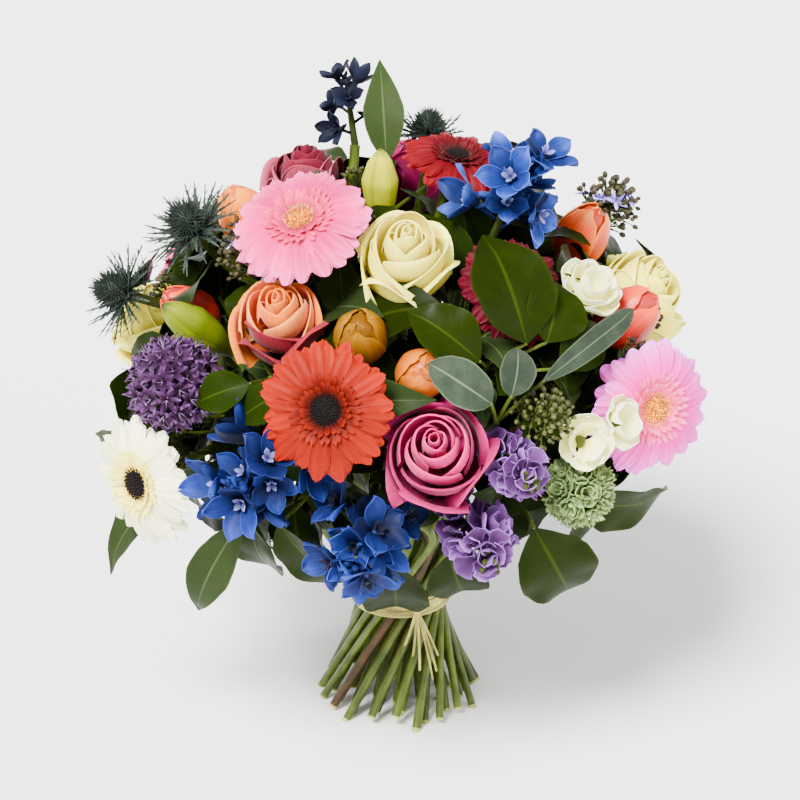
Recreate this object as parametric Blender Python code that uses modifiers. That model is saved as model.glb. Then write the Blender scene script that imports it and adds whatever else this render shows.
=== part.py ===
"""A round hand-tied bouquet of mixed flowers that stands on its cut stems.

The stems are straight through the tie, each leaning past its neighbours the same way round, and bend
out above it to the blooms. The blooms sit on a flattened dome. Every bloom, leafy branch and bundle of
neighbouring stems is one closed solid. Units are metres, +Z is up, and the origin is on the surface that
the bouquet stands on, under the middle of its whole outline. The bouquet is modelled round the tie's axis
and then set at its place. A turn is an angle round +Z, 0 towards -Y and 90 towards +X. A fall is measured
down the dome from its top, and a rise is an angle above the horizon.
"""

import math
import random

import bmesh
import bpy
import numpy as np
from mathutils import Matrix, Vector

# The dome on which the faces of the blooms lie.
DOME_RADIUS = 0.176
DOME_HALF_HEIGHT = 0.126
DOME_CENTRE = 0.238

# The stems and the place where they are tied.
TIE_PLACE = (0.0048, -0.0067, 0.0)
TIE_HEIGHT = 0.078
STEM_RADIUS = 0.0030
STEM_PITCH = 0.0065
RING_LEANS = (0.0, 11.0, 20.0, 27.0, 30.0)
RING_TWIST = 72.0
CUT_LENGTH = 0.088
BUNDLES = 5
STEM_RISE = 0.060
STEM_ROOM = 0.0011
SEAT_GAP = 0.0003
LINK_RADIUS = 0.0014
PUSHES = 800
STRAY = 0.045

# The raffia round the stems.
RAFFIA_GAP = 0.0022
RAFFIA_THICKNESS = 0.0016
RAFFIA_STRANDS = 2
RAFFIA_SIDES = 16

# Thicknesses of petals and leaves, larger than life so that they hold together as solids.
PETAL = 0.0010
LEAF = 0.0010
PETIOLE = 0.0012
PETIOLE_SHARE = 0.25
TWIG_RADIUS = 0.0020
MERGE = 0.000002

GREENS = {"stem": (0.16, 0.28, 0.06), "salal": (0.035, 0.11, 0.018), "eucalyptus": (0.19, 0.28, 0.22),
          "ruscus": (0.06, 0.15, 0.03), "laurel": (0.04, 0.12, 0.02), "raffia": (0.78, 0.70, 0.42)}
COLOURS = {
    "orange": (0.93, 0.13, 0.01), "pink": (0.92, 0.33, 0.53), "red": (0.58, 0.01, 0.02),
    "crimson": (0.55, 0.01, 0.09), "white": (0.90, 0.88, 0.80), "cream": (0.90, 0.85, 0.58),
    "rose_pink": (0.72, 0.09, 0.28), "peach": (0.93, 0.40, 0.17), "raspberry": (0.50, 0.04, 0.13),
    "apricot": (0.90, 0.38, 0.05), "salmon": (0.80, 0.18, 0.17), "gold": (0.70, 0.45, 0.04),
    "lime": (0.55, 0.62, 0.08), "thistle": (0.09, 0.15, 0.14), "violet": (0.20, 0.08, 0.30),
    "blue": (0.06, 0.11, 0.48), "midnight": (0.03, 0.04, 0.12), "mauve": (0.30, 0.16, 0.45),
    "jade": (0.45, 0.58, 0.38), "wax": (0.42, 0.36, 0.28), "moss": (0.20, 0.25, 0.05),
}

# Each bloom: name, kind, colour, turn, fall and lift of its face, turn and rise of the way it faces, width.
BLOOMS = (
    ("gerbera_orange", "gerbera", "orange", -14, 71, 0.008, -10, 27, 0.084),
    ("gerbera_pink", "gerbera", "pink", -39, 30, 0.014, -25, 60, 0.088),
    ("gerbera_red", "gerbera", "red", 112, 12, 0.006, 50, 76, 0.070),
    ("gerbera_crimson", "gerbera", "crimson", 41, 40, -0.016, 34, 52, 0.074),
    ("gerbera_blush", "gerbera", "pink", 56, 84, 0.006, 30, 12, 0.088),
    ("gerbera_white", "gerbera", "white", -54, 101, 0.020, -46, 4, 0.086),
    ("gerbera_back_orange", "gerbera", "orange", 160, 66, 0.000, 160, 30, 0.080),
    ("gerbera_back_pink", "gerbera", "pink", -130, 78, 0.000, -130, 18, 0.084),
    ("rose_cream", "rose", "cream", 3, 30, 0.010, 6, 58, 0.064),
    ("rose_pink", "rose", "rose_pink", 6, 80, 0.008, -4, 34, 0.066),
    ("rose_peach", "rose", "peach", -35, 48, -0.002, -14, 54, 0.058),
    ("rose_raspberry", "rose", "raspberry", -126, 26, 0.012, -110, 78, 0.050),
    ("rose_cream_right", "rose", "cream", 92, 68, 0.008, 72, 40, 0.070),
    ("rose_cream_left", "rose", "cream", -94, 78, 0.008, -88, 28, 0.056),
    ("rose_back_pink", "rose", "rose_pink", 178, 40, 0.006, 178, 52, 0.056),
    ("rose_back_peach", "rose", "peach", 132, 83, 0.006, 130, 16, 0.056),
    ("rose_back_cream", "rose", "cream", -162, 61, 0.008, -162, 34, 0.056),
    ("tulip_orange", "tulip", "apricot", 92, 42, 0.010, 70, 62, 0.032),
    ("tulip_salmon", "tulip", "salmon", 70, 61, 0.014, 72, 44, 0.034),
    ("tulip_peach", "tulip", "apricot", -96, 35, 0.012, -80, 66, 0.032),
    ("tulip_gold", "tulip", "gold", -10, 50, 0.006, -4, 44, 0.031),
    ("tulip_apricot", "tulip", "apricot", 5, 60, 0.004, 4, 34, 0.029),
    ("tulip_red", "tulip", "salmon", -75, 59, -0.002, -72, 44, 0.030),
    ("tulip_back", "tulip", "salmon", 145, 52, 0.008, 145, 44, 0.032),
    ("lisianthus_white", "lisianthus", "white", 57, 50, 0.004, 44, 54, 0.040),
    ("lily_bud_top", "lily", "lime", -30, 7, 0.022, 0, 84, 0.022),
    ("lily_bud_left", "lily", "lime", -64, 60, 0.006, -74, 40, 0.024),
    ("sweet_pea_white", "pea", "white", 41, 83, 0.010, 36, 20, 0.034),
    ("thistle_left", "thistle", "thistle", -82, 67, 0.016, -78, 22, 0.044),
    ("thistle_upper", "thistle", "thistle", -78, 44, 0.016, -66, 54, 0.046),
    ("thistle_top", "thistle", "thistle", 165, 22, 0.014, 170, 70, 0.036),
    ("allium_left", "allium", "violet", -51, 75, 0.002, -52, 18, 0.060),
    ("allium_back", "allium", "violet", 178, 88, 0.012, 178, 8, 0.058),
    ("delphinium_right", "delphinium", "blue", 60, 25, 0.034, 50, 66, 0.036),
    ("delphinium_left", "delphinium", "blue", -28, 90, 0.022, -30, 4, 0.036),
    ("delphinium_low", "delphinium", "blue", -8, 107, 0.020, -10, -14, 0.036),
    ("delphinium_top", "delphinium", "midnight", -152, 20, 0.044, -140, 78, 0.021),
    ("delphinium_back", "delphinium", "blue", -172, 108, 0.010, -172, -8, 0.036),
    ("stock_mid", "stock", "mauve", 23.5, 90, 0.006, 24, 0, 0.023),
    ("stock_low", "stock", "mauve", 17, 112, 0.010, 16, -20, 0.028),
    ("stock_back", "stock", "mauve", -148, 100, 0.006, -148, 0, 0.028),
    ("snowball_green", "snowball", "jade", 39, 101, 0.006, 38, 0, 0.024),
    ("berries_front", "sprig", "moss", 29, 75, 0.008, 28, 36, 0.007),
    ("waxflower_right", "sprig", "wax", 112, 52, 0.014, 104, 46, 0.008),
    ("waxflower_left", "sprig", "wax", -58, 38, 0.004, -60, 56, 0.008),
)

# How far each kind of bloom reaches back from its face to its stem, in widths of the bloom.
DEPTHS = {"gerbera": 0.17, "rose": 0.88, "tulip": 1.55, "lisianthus": 0.95, "lily": 2.3, "pea": 0.9,
          "thistle": 0.78, "allium": 0.5, "delphinium": 1.9, "stock": 1.9, "snowball": 1.6,
          "sprig": 5.5}

# Each leafy branch: name, kind, turn, fall and lift of its twig's upper end, turn and rise of its way
# there, length, then its leaves. A leaf: turn, fall and lift of its knee, where the blade begins, and of
# its tip, and its width.
BRANCHES = (
    ("salal_centre", "salal", 24, 57, -0.026, 24, 50, 0.030, (
        (30, 57, -0.002, 30, 32, 0.014, 0.054),
        (18, 59, -0.004, 2, 46, 0.002, 0.036),
        (35, 58, -0.002, 46, 46, 0.004, 0.040),
        (38, 65, -0.008, 52, 58, -0.002, 0.030),
    )),
    ("eucalyptus_front", "eucalyptus", 22, 76, -0.022, 22, 40, 0.030, (
        (18, 70, 0.004, 6, 60, 0.012, 0.027),
        (22, 69, 0.006, 25, 59, 0.012, 0.022),
        (30, 67, 0.004, 59, 60, 0.014, 0.015),
    )),
    ("salal_low", "salal", 32, 114, -0.040, 32, 10, 0.030, (
        (30, 113, -0.004, 46, 134, 0.030, 0.050),
        (46, 114, -0.012, 70, 114, 0.018, 0.042),
        (12, 124, -0.008, 22, 144, 0.010, 0.038),
        (56, 124, -0.014, 78, 134, 0.008, 0.046),
    )),
    ("salal_left", "salal", -24, 116, -0.040, -24, 10, 0.030, (
        (-28, 114, -0.010, -12, 137, 0.004, 0.044),
        (-2, 126, -0.006, -2, 152, 0.018, 0.042),
        (-38, 120, -0.010, -42, 142, 0.006, 0.038),
    )),
    ("laurel_upper_left", "laurel", -38, 64, -0.040, -38, 50, 0.030, (
        (-33, 68, -0.004, -43, 77, 0.004, 0.026),
        (-24, 66, -0.010, -36, 80, -0.008, 0.024),
        (-52, 52, -0.030, -58, 40, -0.024, 0.028),
    )),
    ("laurel_back_left", "laurel", -126, 98, -0.040, -126, 20, 0.030, (
        (-110, 94, -0.006, -109, 66, 0.004, 0.040),
        (-112, 106, -0.006, -98, 124, 0.012, 0.052),
        (-132, 114, -0.006, -128, 140, 0.014, 0.052),
        (-154, 86, -0.012, -150, 66, 0.000, 0.040),
        (-98, 98, -0.012, -84, 110, 0.006, 0.044),
        (-156, 118, -0.006, -160, 142, 0.012, 0.048),
    )),
    ("laurel_back_right", "laurel", 140, 110, -0.044, 140, 10, 0.030, (
        (110, 90, -0.006, 111, 64, 0.006, 0.044),
        (118, 108, -0.006, 104, 126, 0.012, 0.052),
        (142, 116, -0.006, 138, 142, 0.012, 0.052),
        (160, 108, -0.006, 168, 130, 0.010, 0.050),
        (148, 96, -0.012, 146, 74, -0.006, 0.044),
        (104, 106, -0.010, 84, 108, 0.012, 0.044),
    )),
    ("ruscus_left", "ruscus", -70, 116, -0.044, -70, 10, 0.030, (
        (-36, 112, -0.004, -53, 134, 0.052, 0.028),
        (-68, 118, -0.002, -70, 124, 0.066, 0.028),
        (-80, 110, -0.006, -94, 110, 0.034, 0.026),
        (-76, 126, -0.010, -84, 144, 0.010, 0.040),
    )),
    ("ruscus_top", "ruscus", -168, 12, -0.030, -168, 76, 0.030, (
        (-160, 8, -0.002, -168, 16, 0.058, 0.026),
        (152, 30, -0.006, 132, 40, 0.014, 0.040),
        (-158, 32, -0.010, -144, 46, 0.008, 0.042),
    )),
)


def along(turn, rise):
    """The unit vector with that turn and rise, in degrees."""
    t, r = math.radians(turn), math.radians(rise)
    return Vector((math.sin(t) * math.cos(r), -math.cos(t) * math.cos(r), math.sin(r)))


def on_dome(turn, fall, lift):
    """A point that far outside the dome, and the dome's normal there."""
    t, f = math.radians(turn), math.radians(fall)
    flat = Vector((math.sin(t), -math.cos(t), 0.0)) * math.sin(f)
    up = Vector((0.0, 0.0, math.cos(f)))
    normal = (flat / DOME_RADIUS + up / DOME_HALF_HEIGHT).normalized()
    point = flat * DOME_RADIUS + up * DOME_HALF_HEIGHT + Vector((0.0, 0.0, DOME_CENTRE))
    return point + normal * lift, normal


def facing(origin, axis):
    """The matrix that puts a piece modelled round +Z at origin, with +Z along axis and its -Y side low."""
    side = Vector((0.0, 0.0, 1.0)).cross(axis)
    side = side.normalized() if side.length > 1e-6 else Vector((1.0, 0.0, 0.0))
    up = axis.cross(side)
    turned = Matrix((side, up, axis)).transposed().to_4x4()
    return Matrix.Translation(origin) @ turned


def material(name, colour, roughness=0.6):
    found = bpy.data.materials.get(name)
    if found:
        return found
    made = bpy.data.materials.new(name)
    made.use_nodes = True
    shader = made.node_tree.nodes["Principled BSDF"]
    shader.inputs["Base Color"].default_value = (*colour, 1.0)
    shader.inputs["Roughness"].default_value = roughness
    shader.inputs["Metallic"].default_value = 0.0
    return made


def add_mesh(name, bm):
    """A new object from a bmesh, in the collection of loose pieces."""
    mesh = bpy.data.meshes.new(name)
    bm.to_mesh(mesh)
    bm.free()
    made = bpy.data.objects.new(name, mesh)
    bpy.data.collections["loose"].objects.link(made)
    return made


def settled(obj, merge=1e-6):
    """The object with its modifiers applied, its place in its mesh and its seams merged."""
    bpy.context.view_layer.update()
    graph = bpy.context.evaluated_depsgraph_get()
    mesh = bpy.data.meshes.new_from_object(obj.evaluated_get(graph))
    mesh.transform(obj.matrix_world)
    made = bpy.data.objects.new(obj.name + "_mesh", mesh)
    bpy.data.collections["loose"].objects.link(made)
    bpy.data.objects.remove(obj)
    if merge:
        bm = bmesh.new()
        bm.from_mesh(mesh)
        bmesh.ops.remove_doubles(bm, verts=bm.verts, dist=merge)
        bm.to_mesh(mesh)
        bm.free()
    return made


def turned(profile, sides, counts=None, reshape=None):
    """A solid of revolution about Z, from a profile that runs down its outer side from axis to axis.
    Counts gives how many corners each ring keeps, and reshape(ring, corner) the radius and height of
    each, with a shift round the axis in corners."""
    bm = bmesh.new()
    points = [bm.verts.new((r, 0.0, z)) for r, z in profile]
    for a, b in zip(points, points[1:]):
        bm.edges.new((a, b))
    made = add_mesh("turned", bm)
    screw = made.modifiers.new("turn", "SCREW")
    screw.steps = screw.render_steps = sides
    screw.use_merge_vertices = True
    screw.merge_threshold = 1e-5
    made = settled(made)
    if counts:
        for vert in made.data.vertices:
            flat = math.hypot(vert.co.x, vert.co.y)
            ring = min(range(len(profile)), key=lambda i: math.hypot(flat - profile[i][0],
                                                                   vert.co.z - profile[i][1]))
            if not profile[ring][0]:
                continue
            share = math.atan2(vert.co.y, vert.co.x) / (2.0 * math.pi) % 1.0
            corner = int(share * counts[ring] + 0.5 + 1e-6) % counts[ring]
            radius, height, shift = reshape(ring, corner)
            angle = 2.0 * math.pi * (corner + shift) / counts[ring]
            vert.co = (radius * math.cos(angle), radius * math.sin(angle), height)
        made = settled(made)
    return made


def sheet(columns, rows, shape, thickness):
    """A petal or leaf blade: a grid bent by shape(across, up), across from -1 to 1 and up from 0 to 1."""
    bm = bmesh.new()
    bmesh.ops.create_grid(bm, x_segments=columns, y_segments=rows, size=1.0)
    for vert in bm.verts:
        vert.co = shape(vert.co.x, (vert.co.y + 1.0) / 2.0)
    bmesh.ops.remove_doubles(bm, verts=bm.verts, dist=2e-4)
    bmesh.ops.triangulate(bm, faces=bm.faces)
    made = add_mesh("sheet", bm)
    solidify = made.modifiers.new("thickness", "SOLIDIFY")
    solidify.thickness = thickness
    solidify.offset = 0.0
    return settled(made)


def spike(start, end, start_radius, end_radius, sides=3):
    """A straight pointed or blunt stick between two points."""
    way = Vector(end) - Vector(start)
    bm = bmesh.new()
    bmesh.ops.create_cone(bm, cap_ends=True, segments=sides, radius1=start_radius, radius2=end_radius,
                          depth=way.length)
    made = add_mesh("spike", bm)
    made.data.transform(facing((Vector(start) + Vector(end)) / 2.0, way.normalized()))
    return made


def line_object(name, points, radii, closed=False):
    curve = bpy.data.curves.new(name, "CURVE")
    curve.dimensions = "3D"
    spline = curve.splines.new("POLY")
    spline.points.add(len(points) - 1)
    spline.use_cyclic_u = closed
    for knot, point, radius in zip(spline.points, points, radii):
        knot.co = (*point, 1.0)
        knot.radius = radius
    made = bpy.data.objects.new(name, curve)
    bpy.data.collections["loose"].objects.link(made)
    return made


def closed(obj):
    """The object with its open ends capped and its faces turned outwards."""
    bm = bmesh.new()
    bm.from_mesh(obj.data)
    rim = [edge for edge in bm.edges if edge.is_boundary]
    if rim:
        bmesh.ops.holes_fill(bm, edges=rim)
    bmesh.ops.recalc_face_normals(bm, faces=bm.faces)
    bm.to_mesh(obj.data)
    bm.free()
    return obj


def rod(points, radii, sides=5):
    """A stick along several points, with that many sides, closed at both ends."""
    around = [2.0 * math.pi * side / sides for side in range(sides)]
    section = line_object("section", [(math.cos(a), math.sin(a), 0.0) for a in around], [1.0] * sides, True)
    made = line_object("rod", points, radii)
    made.data.bevel_mode = "OBJECT"
    made.data.bevel_object = section
    made = settled(made)
    bpy.data.objects.remove(section)
    return closed(made)


def trimmed(obj, point, normal):
    """The object with all that lies beyond a plane cut off, and the cut closed."""
    bm = bmesh.new()
    bm.from_mesh(obj.data)
    whole = bm.verts[:] + bm.edges[:] + bm.faces[:]
    bmesh.ops.bisect_plane(bm, geom=whole, dist=1e-7, plane_co=point, plane_no=normal, clear_outer=True)
    bm.to_mesh(obj.data)
    bm.free()
    return closed(obj)


def cleaned(obj):
    """The object as its largest body, with slivers and scraps left by the union taken out."""
    bm = bmesh.new()
    bm.from_mesh(obj.data)
    bmesh.ops.triangulate(bm, faces=bm.faces)
    bmesh.ops.remove_doubles(bm, verts=bm.verts, dist=MERGE)
    seen = {}
    for face in bm.faces:
        seen.setdefault(frozenset(vert.index for vert in face.verts), []).append(face)
    doubled = [face for faces in seen.values() if len(faces) > 1 for face in faces]
    bmesh.ops.delete(bm, geom=doubled, context="FACES_ONLY")
    bodies, left = [], set(bm.faces)
    while left:
        body, queue = set(), [left.pop()]
        while queue:
            face = queue.pop()
            body.add(face)
            for edge in face.edges:
                for other in edge.link_faces:
                    if other in left:
                        left.discard(other)
                        queue.append(other)
        bodies.append(body)
    largest = max(bodies, key=lambda body: sum(face.calc_area() for face in body))
    scraps = [face for body in bodies if body is not largest for face in body]
    bmesh.ops.delete(bm, geom=scraps, context="FACES")
    loose = [vert for vert in bm.verts if not vert.link_faces]
    bmesh.ops.delete(bm, geom=loose, context="VERTS")
    bmesh.ops.dissolve_limit(bm, angle_limit=math.radians(0.4), verts=bm.verts, edges=bm.edges)
    bmesh.ops.triangulate(bm, faces=bm.faces)
    bm.to_mesh(obj.data)
    bm.free()
    return obj


def fuse(name, pieces, colour, matrix=None):
    """One solid from pieces that run into each other, as a node of the bouquet."""
    made = pieces[0]
    if pieces[1:]:
        group = bpy.data.collections.new("joined")
        bpy.context.scene.collection.children.link(group)
        for piece in pieces[1:]:
            group.objects.link(piece)
        union = made.modifiers.new("join", "BOOLEAN")
        union.operation = "UNION"
        union.operand_type = "COLLECTION"
        union.collection = group
        union.solver = "MANIFOLD"
        made = cleaned(settled(made, 0.0))
        for piece in pieces[1:]:
            bpy.data.objects.remove(piece)
        bpy.data.collections.remove(group)
    made.name = made.data.name = name
    made.data.materials.clear()
    made.data.materials.append(material(colour, COLOURS.get(colour) or GREENS[colour]))
    bpy.data.collections["loose"].objects.unlink(made)
    bpy.data.collections["bouquet"].objects.link(made)
    if matrix:
        made.matrix_world = matrix
    return made


def gerbera(width, depth, rng):
    """A disc in a short whorl of rays over a whorl of long ones, with a green cup behind."""
    radius = width / 2.0
    profile = ((0, 0.0042), (0.0100, 0.0030), (0.5 * radius, 0.0052), (0.49 * radius, 0.0041),
               (0.0130, -0.0004), (0.95 * radius, -0.0030), (0.94 * radius, -0.0041),
               (0.0165, -0.0044), (0.0090, -0.0100), (0.0034, -depth), (0, -depth))
    counts = (1, 8, 16, 16, 12, 36, 36, 12, 8, 5, 1)
    draws = [(rng.random(), rng.random()) for _ in range(40)]

    def reshape(ring, corner):
        flat, height = profile[ring]
        if ring in (2, 3):
            long, high = draws[corner]
            if corner % 2:
                return radius * (0.53 + 0.08 * long), height + 0.002 * high, 0.0
            return radius * 0.38, height - 0.0018, 0.0
        if ring in (5, 6):
            long, high = draws[corner // 3]
            if corner % 3:
                return radius * (0.92 + 0.08 * long), height + 0.003 * high - 0.001, corner % 3 - 1.5
            return radius * 0.64, height + 0.001, 0.0
        return flat, height, 0.0

    return [turned(profile, 36, counts, reshape)]


def rose_petal(width, depth, turn, spread, inner, outer, low, high, curl):
    """One cupped petal: one side stands inner from the axis and the other outer, so neighbours lap."""
    def shape(across, up):
        angle = turn + across * spread
        stand = inner + (outer - inner) * (across + 1.0) / 2.0
        belly = math.sin(math.pi * (0.18 + 0.52 * up)) ** 0.8
        radius = width * (stand * belly + curl * up ** 3)
        height = depth * (low + (high - low) * up) - width * 0.10 * across * across * up
        return radius * math.cos(angle), radius * math.sin(angle), height
    return sheet(2, 2, shape, PETAL)


def rose(width, depth, rng):
    """A bud whose petals are wound in whorls, with five outer ones that are rolled back."""
    profile = ((0, -0.10 * depth), (0.075 * width, 0.0), (0.125 * width, -0.13 * depth),
               (0.235 * width, 0.02 * depth), (0.265 * width, -0.10 * depth), (0.345 * width, -0.02 * depth),
               (0.345 * width, -0.42 * depth), (0.27 * width, -0.76 * depth), (0.062 * width, -depth),
               (0, -depth))
    counts = (1, 5, 5, 9, 9, 10, 9, 7, 5, 1)
    phase = rng.random() * 6.0

    def reshape(ring, corner):
        flat, height = profile[ring]
        angle = 2.0 * math.pi * corner / counts[ring]
        if ring in (1, 3, 5):
            wave = math.cos((2, 0, 3, 0, 5)[ring - 1] * angle + phase)
            return flat * (1.0 + 0.10 * wave), height - 0.05 * depth * wave, 0.0
        return flat, height, 0.0

    petals = [turned(profile, 10, counts, reshape)]
    for petal in range(5):
        turn = petal * 2.0 * math.pi / 5.0 + 0.2 * rng.random()
        high = -0.10 - 0.08 * rng.random()
        petals.append(rose_petal(width, depth, turn, 0.72, 0.38, 0.46, -0.84, high, 0.07))
    return petals


def lobed(obj, lobes, depth, length):
    """Grooves between petals, as a relief that fades towards the stem."""
    for vert in obj.data.vertices:
        angle = math.atan2(vert.co.y, vert.co.x)
        share = 1.0 + depth * math.cos(lobes * angle) * min(1.0, (vert.co.z + length) / length * 1.4)
        vert.co.x *= share
        vert.co.y *= share
    return obj


def tulip(width, depth, rng):
    """A closed cup of three outer and three inner petals, with their tips a little apart."""
    half = width / 2.0
    profile = ((0, -0.16 * depth), (0.34 * half, 0.0), (0.72 * half, -0.16 * depth), (half, -0.48 * depth),
               (0.84 * half, -0.78 * depth), (0.23 * half, -depth), (0, -depth))
    counts = (1, 6, 12, 12, 9, 5, 1)

    def reshape(ring, corner):
        flat, height = profile[ring]
        if ring == 1:
            return flat * (1.25 - 0.5 * (corner % 2)), height - 0.05 * depth * (corner % 2), 0.0
        if ring in (2, 3):
            return flat * (1.05, 0.97, 0.99, 0.97)[corner % 4], height, 0.0
        return flat, height, 0.0

    return [turned(profile, 12, counts, reshape)]


def lily(width, depth, rng):
    """A long closed bud with three ribs."""
    half = width / 2.0
    bud = turned(((0, 0.0), (0.42 * half, -0.10 * depth), (0.95 * half, -0.36 * depth),
                  (0.86 * half, -0.66 * depth), (0.34 * half, -0.96 * depth), (0.28 * half, -depth),
                  (0, -depth)), 6)
    return [lobed(bud, 3, 0.10, depth)]


def trumpet(width, petals, start, face, way, spin=0.0, notch=0.58):
    """A small open bloom at face that looks along way, drawn out behind into a spur that ends at start."""
    back = (Vector(face) - Vector(start)).length
    profile = ((0, -0.16 * width), (0.5 * width, 0.0), (0.09 * width, -0.34 * width), (0, -0.34 * width))
    counts = (1, 2 * petals, 3, 1)

    def reshape(ring, corner):
        flat, height = profile[ring]
        if ring == 1:
            between = corner % 2
            lift = 0.10 * width * (corner // 2 % 2) - 0.06 * width * between
            return flat * (notch if between else 1.0), lift, 0.0
        return flat, height, 0.0

    star = turned(profile, 2 * petals, counts, reshape)
    way = Vector(way).normalized()
    star.data.transform(facing(Vector(face), way) @ Matrix.Rotation(spin, 4, "Z"))
    inside = Vector(face) - way * 0.24 * width
    return [star, spike(start, inside, 0.0011, 0.0016)] if back > 0.3 * width else [star]


def lisianthus(width, depth, rng):
    """A small cup of loose petals in two whorls round a bud."""
    pieces = [spike((0, 0, -depth), (0, 0, -0.25 * width), 0.0028, 0.0050, 5)]
    pieces += trumpet(width, 5, (0, 0, -0.3 * width), (0, 0, -0.04 * width), (0, 0, 1))
    inner = (0.02 * width, 0.0, 0.06 * width)
    pieces += trumpet(width * 0.74, 5, (0, 0, -0.3 * width), inner, (0, 0.1, 1), 0.6)
    return pieces


def pea(width, depth, rng):
    """Two ruffled blooms side by side on one stalk."""
    pieces = [spike((0, 0, -depth), (0, 0, -0.30 * depth), 0.0026, 0.0022, 5)]
    for side in (-1, 1):
        face = Vector((side * 0.46 * width, side * 0.07 * width, -0.10 * width))
        pieces += trumpet(width, 6, (0, 0, -0.7 * depth), face, (side * 0.35, 0.0, 1.0), 0.0, 0.75)
    return pieces


def golden_points(count, low, high):
    """Unit vectors spread evenly over the part of a ball between two heights."""
    golden = math.pi * (3.0 - math.sqrt(5.0))
    for point in range(count):
        height = high - (high - low) * (point + 0.5) / count
        flat = math.sqrt(max(0.0, 1.0 - height * height))
        yield Vector((flat * math.cos(point * golden), flat * math.sin(point * golden), height))


def burr(u_sides, v_sides, core, stand):
    """A round head of close-set points: each face of a ball drawn out to a spine."""
    bm = bmesh.new()
    bmesh.ops.create_uvsphere(bm, u_segments=u_sides, v_segments=v_sides, radius=core)
    middles = bmesh.ops.poke(bm, faces=bm.faces)["verts"]
    for vert in middles:
        vert.co = vert.co.normalized() * (core + stand)
    return add_mesh("burr", bm)


def thistle(width, depth, rng):
    """A cone of fine spines over a ruff of long bracts."""
    head = burr(8, 5, 0.22 * width, 0.14 * width)
    head.data.transform(Matrix.Diagonal((1.0, 1.0, 1.25, 1.0)))
    ruff = trumpet(width * 1.35, 8, (0, 0, -0.3 * width), (0, 0, -0.14 * width), (0, 0, 1), 0.0, 0.26)
    return [head, spike((0, 0, -depth), (0, 0, -0.16 * width), 0.0030, 0.0042, 5)] + ruff


def allium(width, depth, rng):
    """A ball of close-set starry florets."""
    head = burr(8, 7, 0.36 * width, 0.13 * width)
    return [head, spike((0, 0, -depth), (0, 0, -0.2 * width), 0.0030, 0.0030, 5)]


def spire(width, depth, count, petals, reach, tilt, spin):
    """Florets round an upright stalk, in a spiral from low to high."""
    pieces = [spike((0, 0, -depth), (0, 0, -width * 0.25), 0.0026, 0.0014, 5)]
    for index in range(count):
        share = index / (count - 1)
        height = -depth * 0.80 + share * depth * 0.80
        angle = index * 2.4
        flat = Vector((math.cos(angle), math.sin(angle), 0.0)) * (1.0 - 0.55 * share ** 3)
        way = (flat + Vector((0, 0, tilt + share ** 3))).normalized()
        face = flat * reach + Vector((0, 0, height + 0.25 * width))
        start = Vector((0, 0, min(height - 0.05 * width, -width * 0.45)))
        pieces += trumpet(width, petals, start, face, way, index * spin)
    return pieces


def delphinium(width, depth, rng):
    return spire(width, depth, 6, 5, width * 0.62, 0.35, 1.3)


def stock(width, depth, rng):
    return spire(width, depth, 7, 4, width * 0.60, 0.25, 0.9)


def snowball(width, depth, rng):
    """A loose round head of four-petalled florets."""
    pieces = [spike((0, 0, -depth), (0, 0, -0.6 * width), 0.0026, 0.0024, 5)]
    for index, way in enumerate(golden_points(6, 0.10, 0.98)):
        face = way * width * 0.80 - Vector((0, 0, 0.5 * width))
        pieces += trumpet(width, 4, (0, 0, -0.95 * width), face, way, index * 0.7)
    return pieces


def sprig(width, depth, rng):
    """A fine spray of twigs that end in small buds."""
    pieces = [spike((0, 0, -depth), (0, 0, -width), 0.0024, 0.0012, 5)]
    for index in range(8):
        share = index / 7.0
        angle = index * 2.4
        root = Vector((0, 0, -depth * (0.75 - 0.55 * share)))
        out = depth * (0.36 - 0.20 * share)
        way = Vector((math.cos(angle) * out, math.sin(angle) * out, depth * 0.30)).normalized()
        reach = math.hypot(out, depth * 0.30)
        bud = [root + way * along for along in (0.0, reach - 0.6 * width, reach, reach + 0.6 * width)]
        pieces.append(rod(bud, (0.0011, 0.0010, 0.55 * width, 0.0004), 3))
    return pieces


KINDS = {"gerbera": gerbera, "rose": rose, "tulip": tulip, "lily": lily, "lisianthus": lisianthus,
         "pea": pea, "thistle": thistle, "allium": allium, "delphinium": delphinium, "stock": stock,
         "snowball": snowball, "sprig": sprig}


def bloom_place(row):
    """The middle of a bloom's face, the way it faces and the foot that its stem carries."""
    _, kind, _, turn, fall, lift, face_turn, face_rise, width = row
    face, _ = on_dome(turn, fall, lift)
    axis = along(face_turn, face_rise)
    return face, axis, face - axis * width * DEPTHS[kind]


def branch_place(row):
    """The upper end of a branch's twig, its way there and the foot that its stem carries."""
    _, _, turn, fall, lift, way_turn, way_rise, length, _ = row
    end, _ = on_dome(turn, fall, lift)
    axis = along(way_turn, way_rise)
    return end, axis, end - axis * length


def tie_slots(ends):
    """For each bloom or branch, from its turn and fall: its ring at the tie and its turn there. Those
    near the top of the dome stand in the middle, and each ring keeps the order of the blooms round it."""
    counts = [1]
    for ring in range(1, len(RING_LEANS)):
        counts.append(int(2.0 * math.pi * ring * math.cos(math.radians(RING_LEANS[ring]))))
    order = sorted(ends, key=lambda name: ends[name][1])
    slots = {}
    for ring, count in enumerate(counts):
        members = order[:count] if ring < len(counts) - 1 else order
        order = order[len(members):]
        members.sort(key=lambda name: ends[name][0])
        step = 360.0 / max(len(members), 1)
        shift = sum((ends[name][0] - index * step + 540.0) % 360.0 - 180.0
                    for index, name in enumerate(members)) / max(len(members), 1)
        for index, name in enumerate(members):
            slots[name] = (ring, index * step + shift)
    return slots


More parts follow.
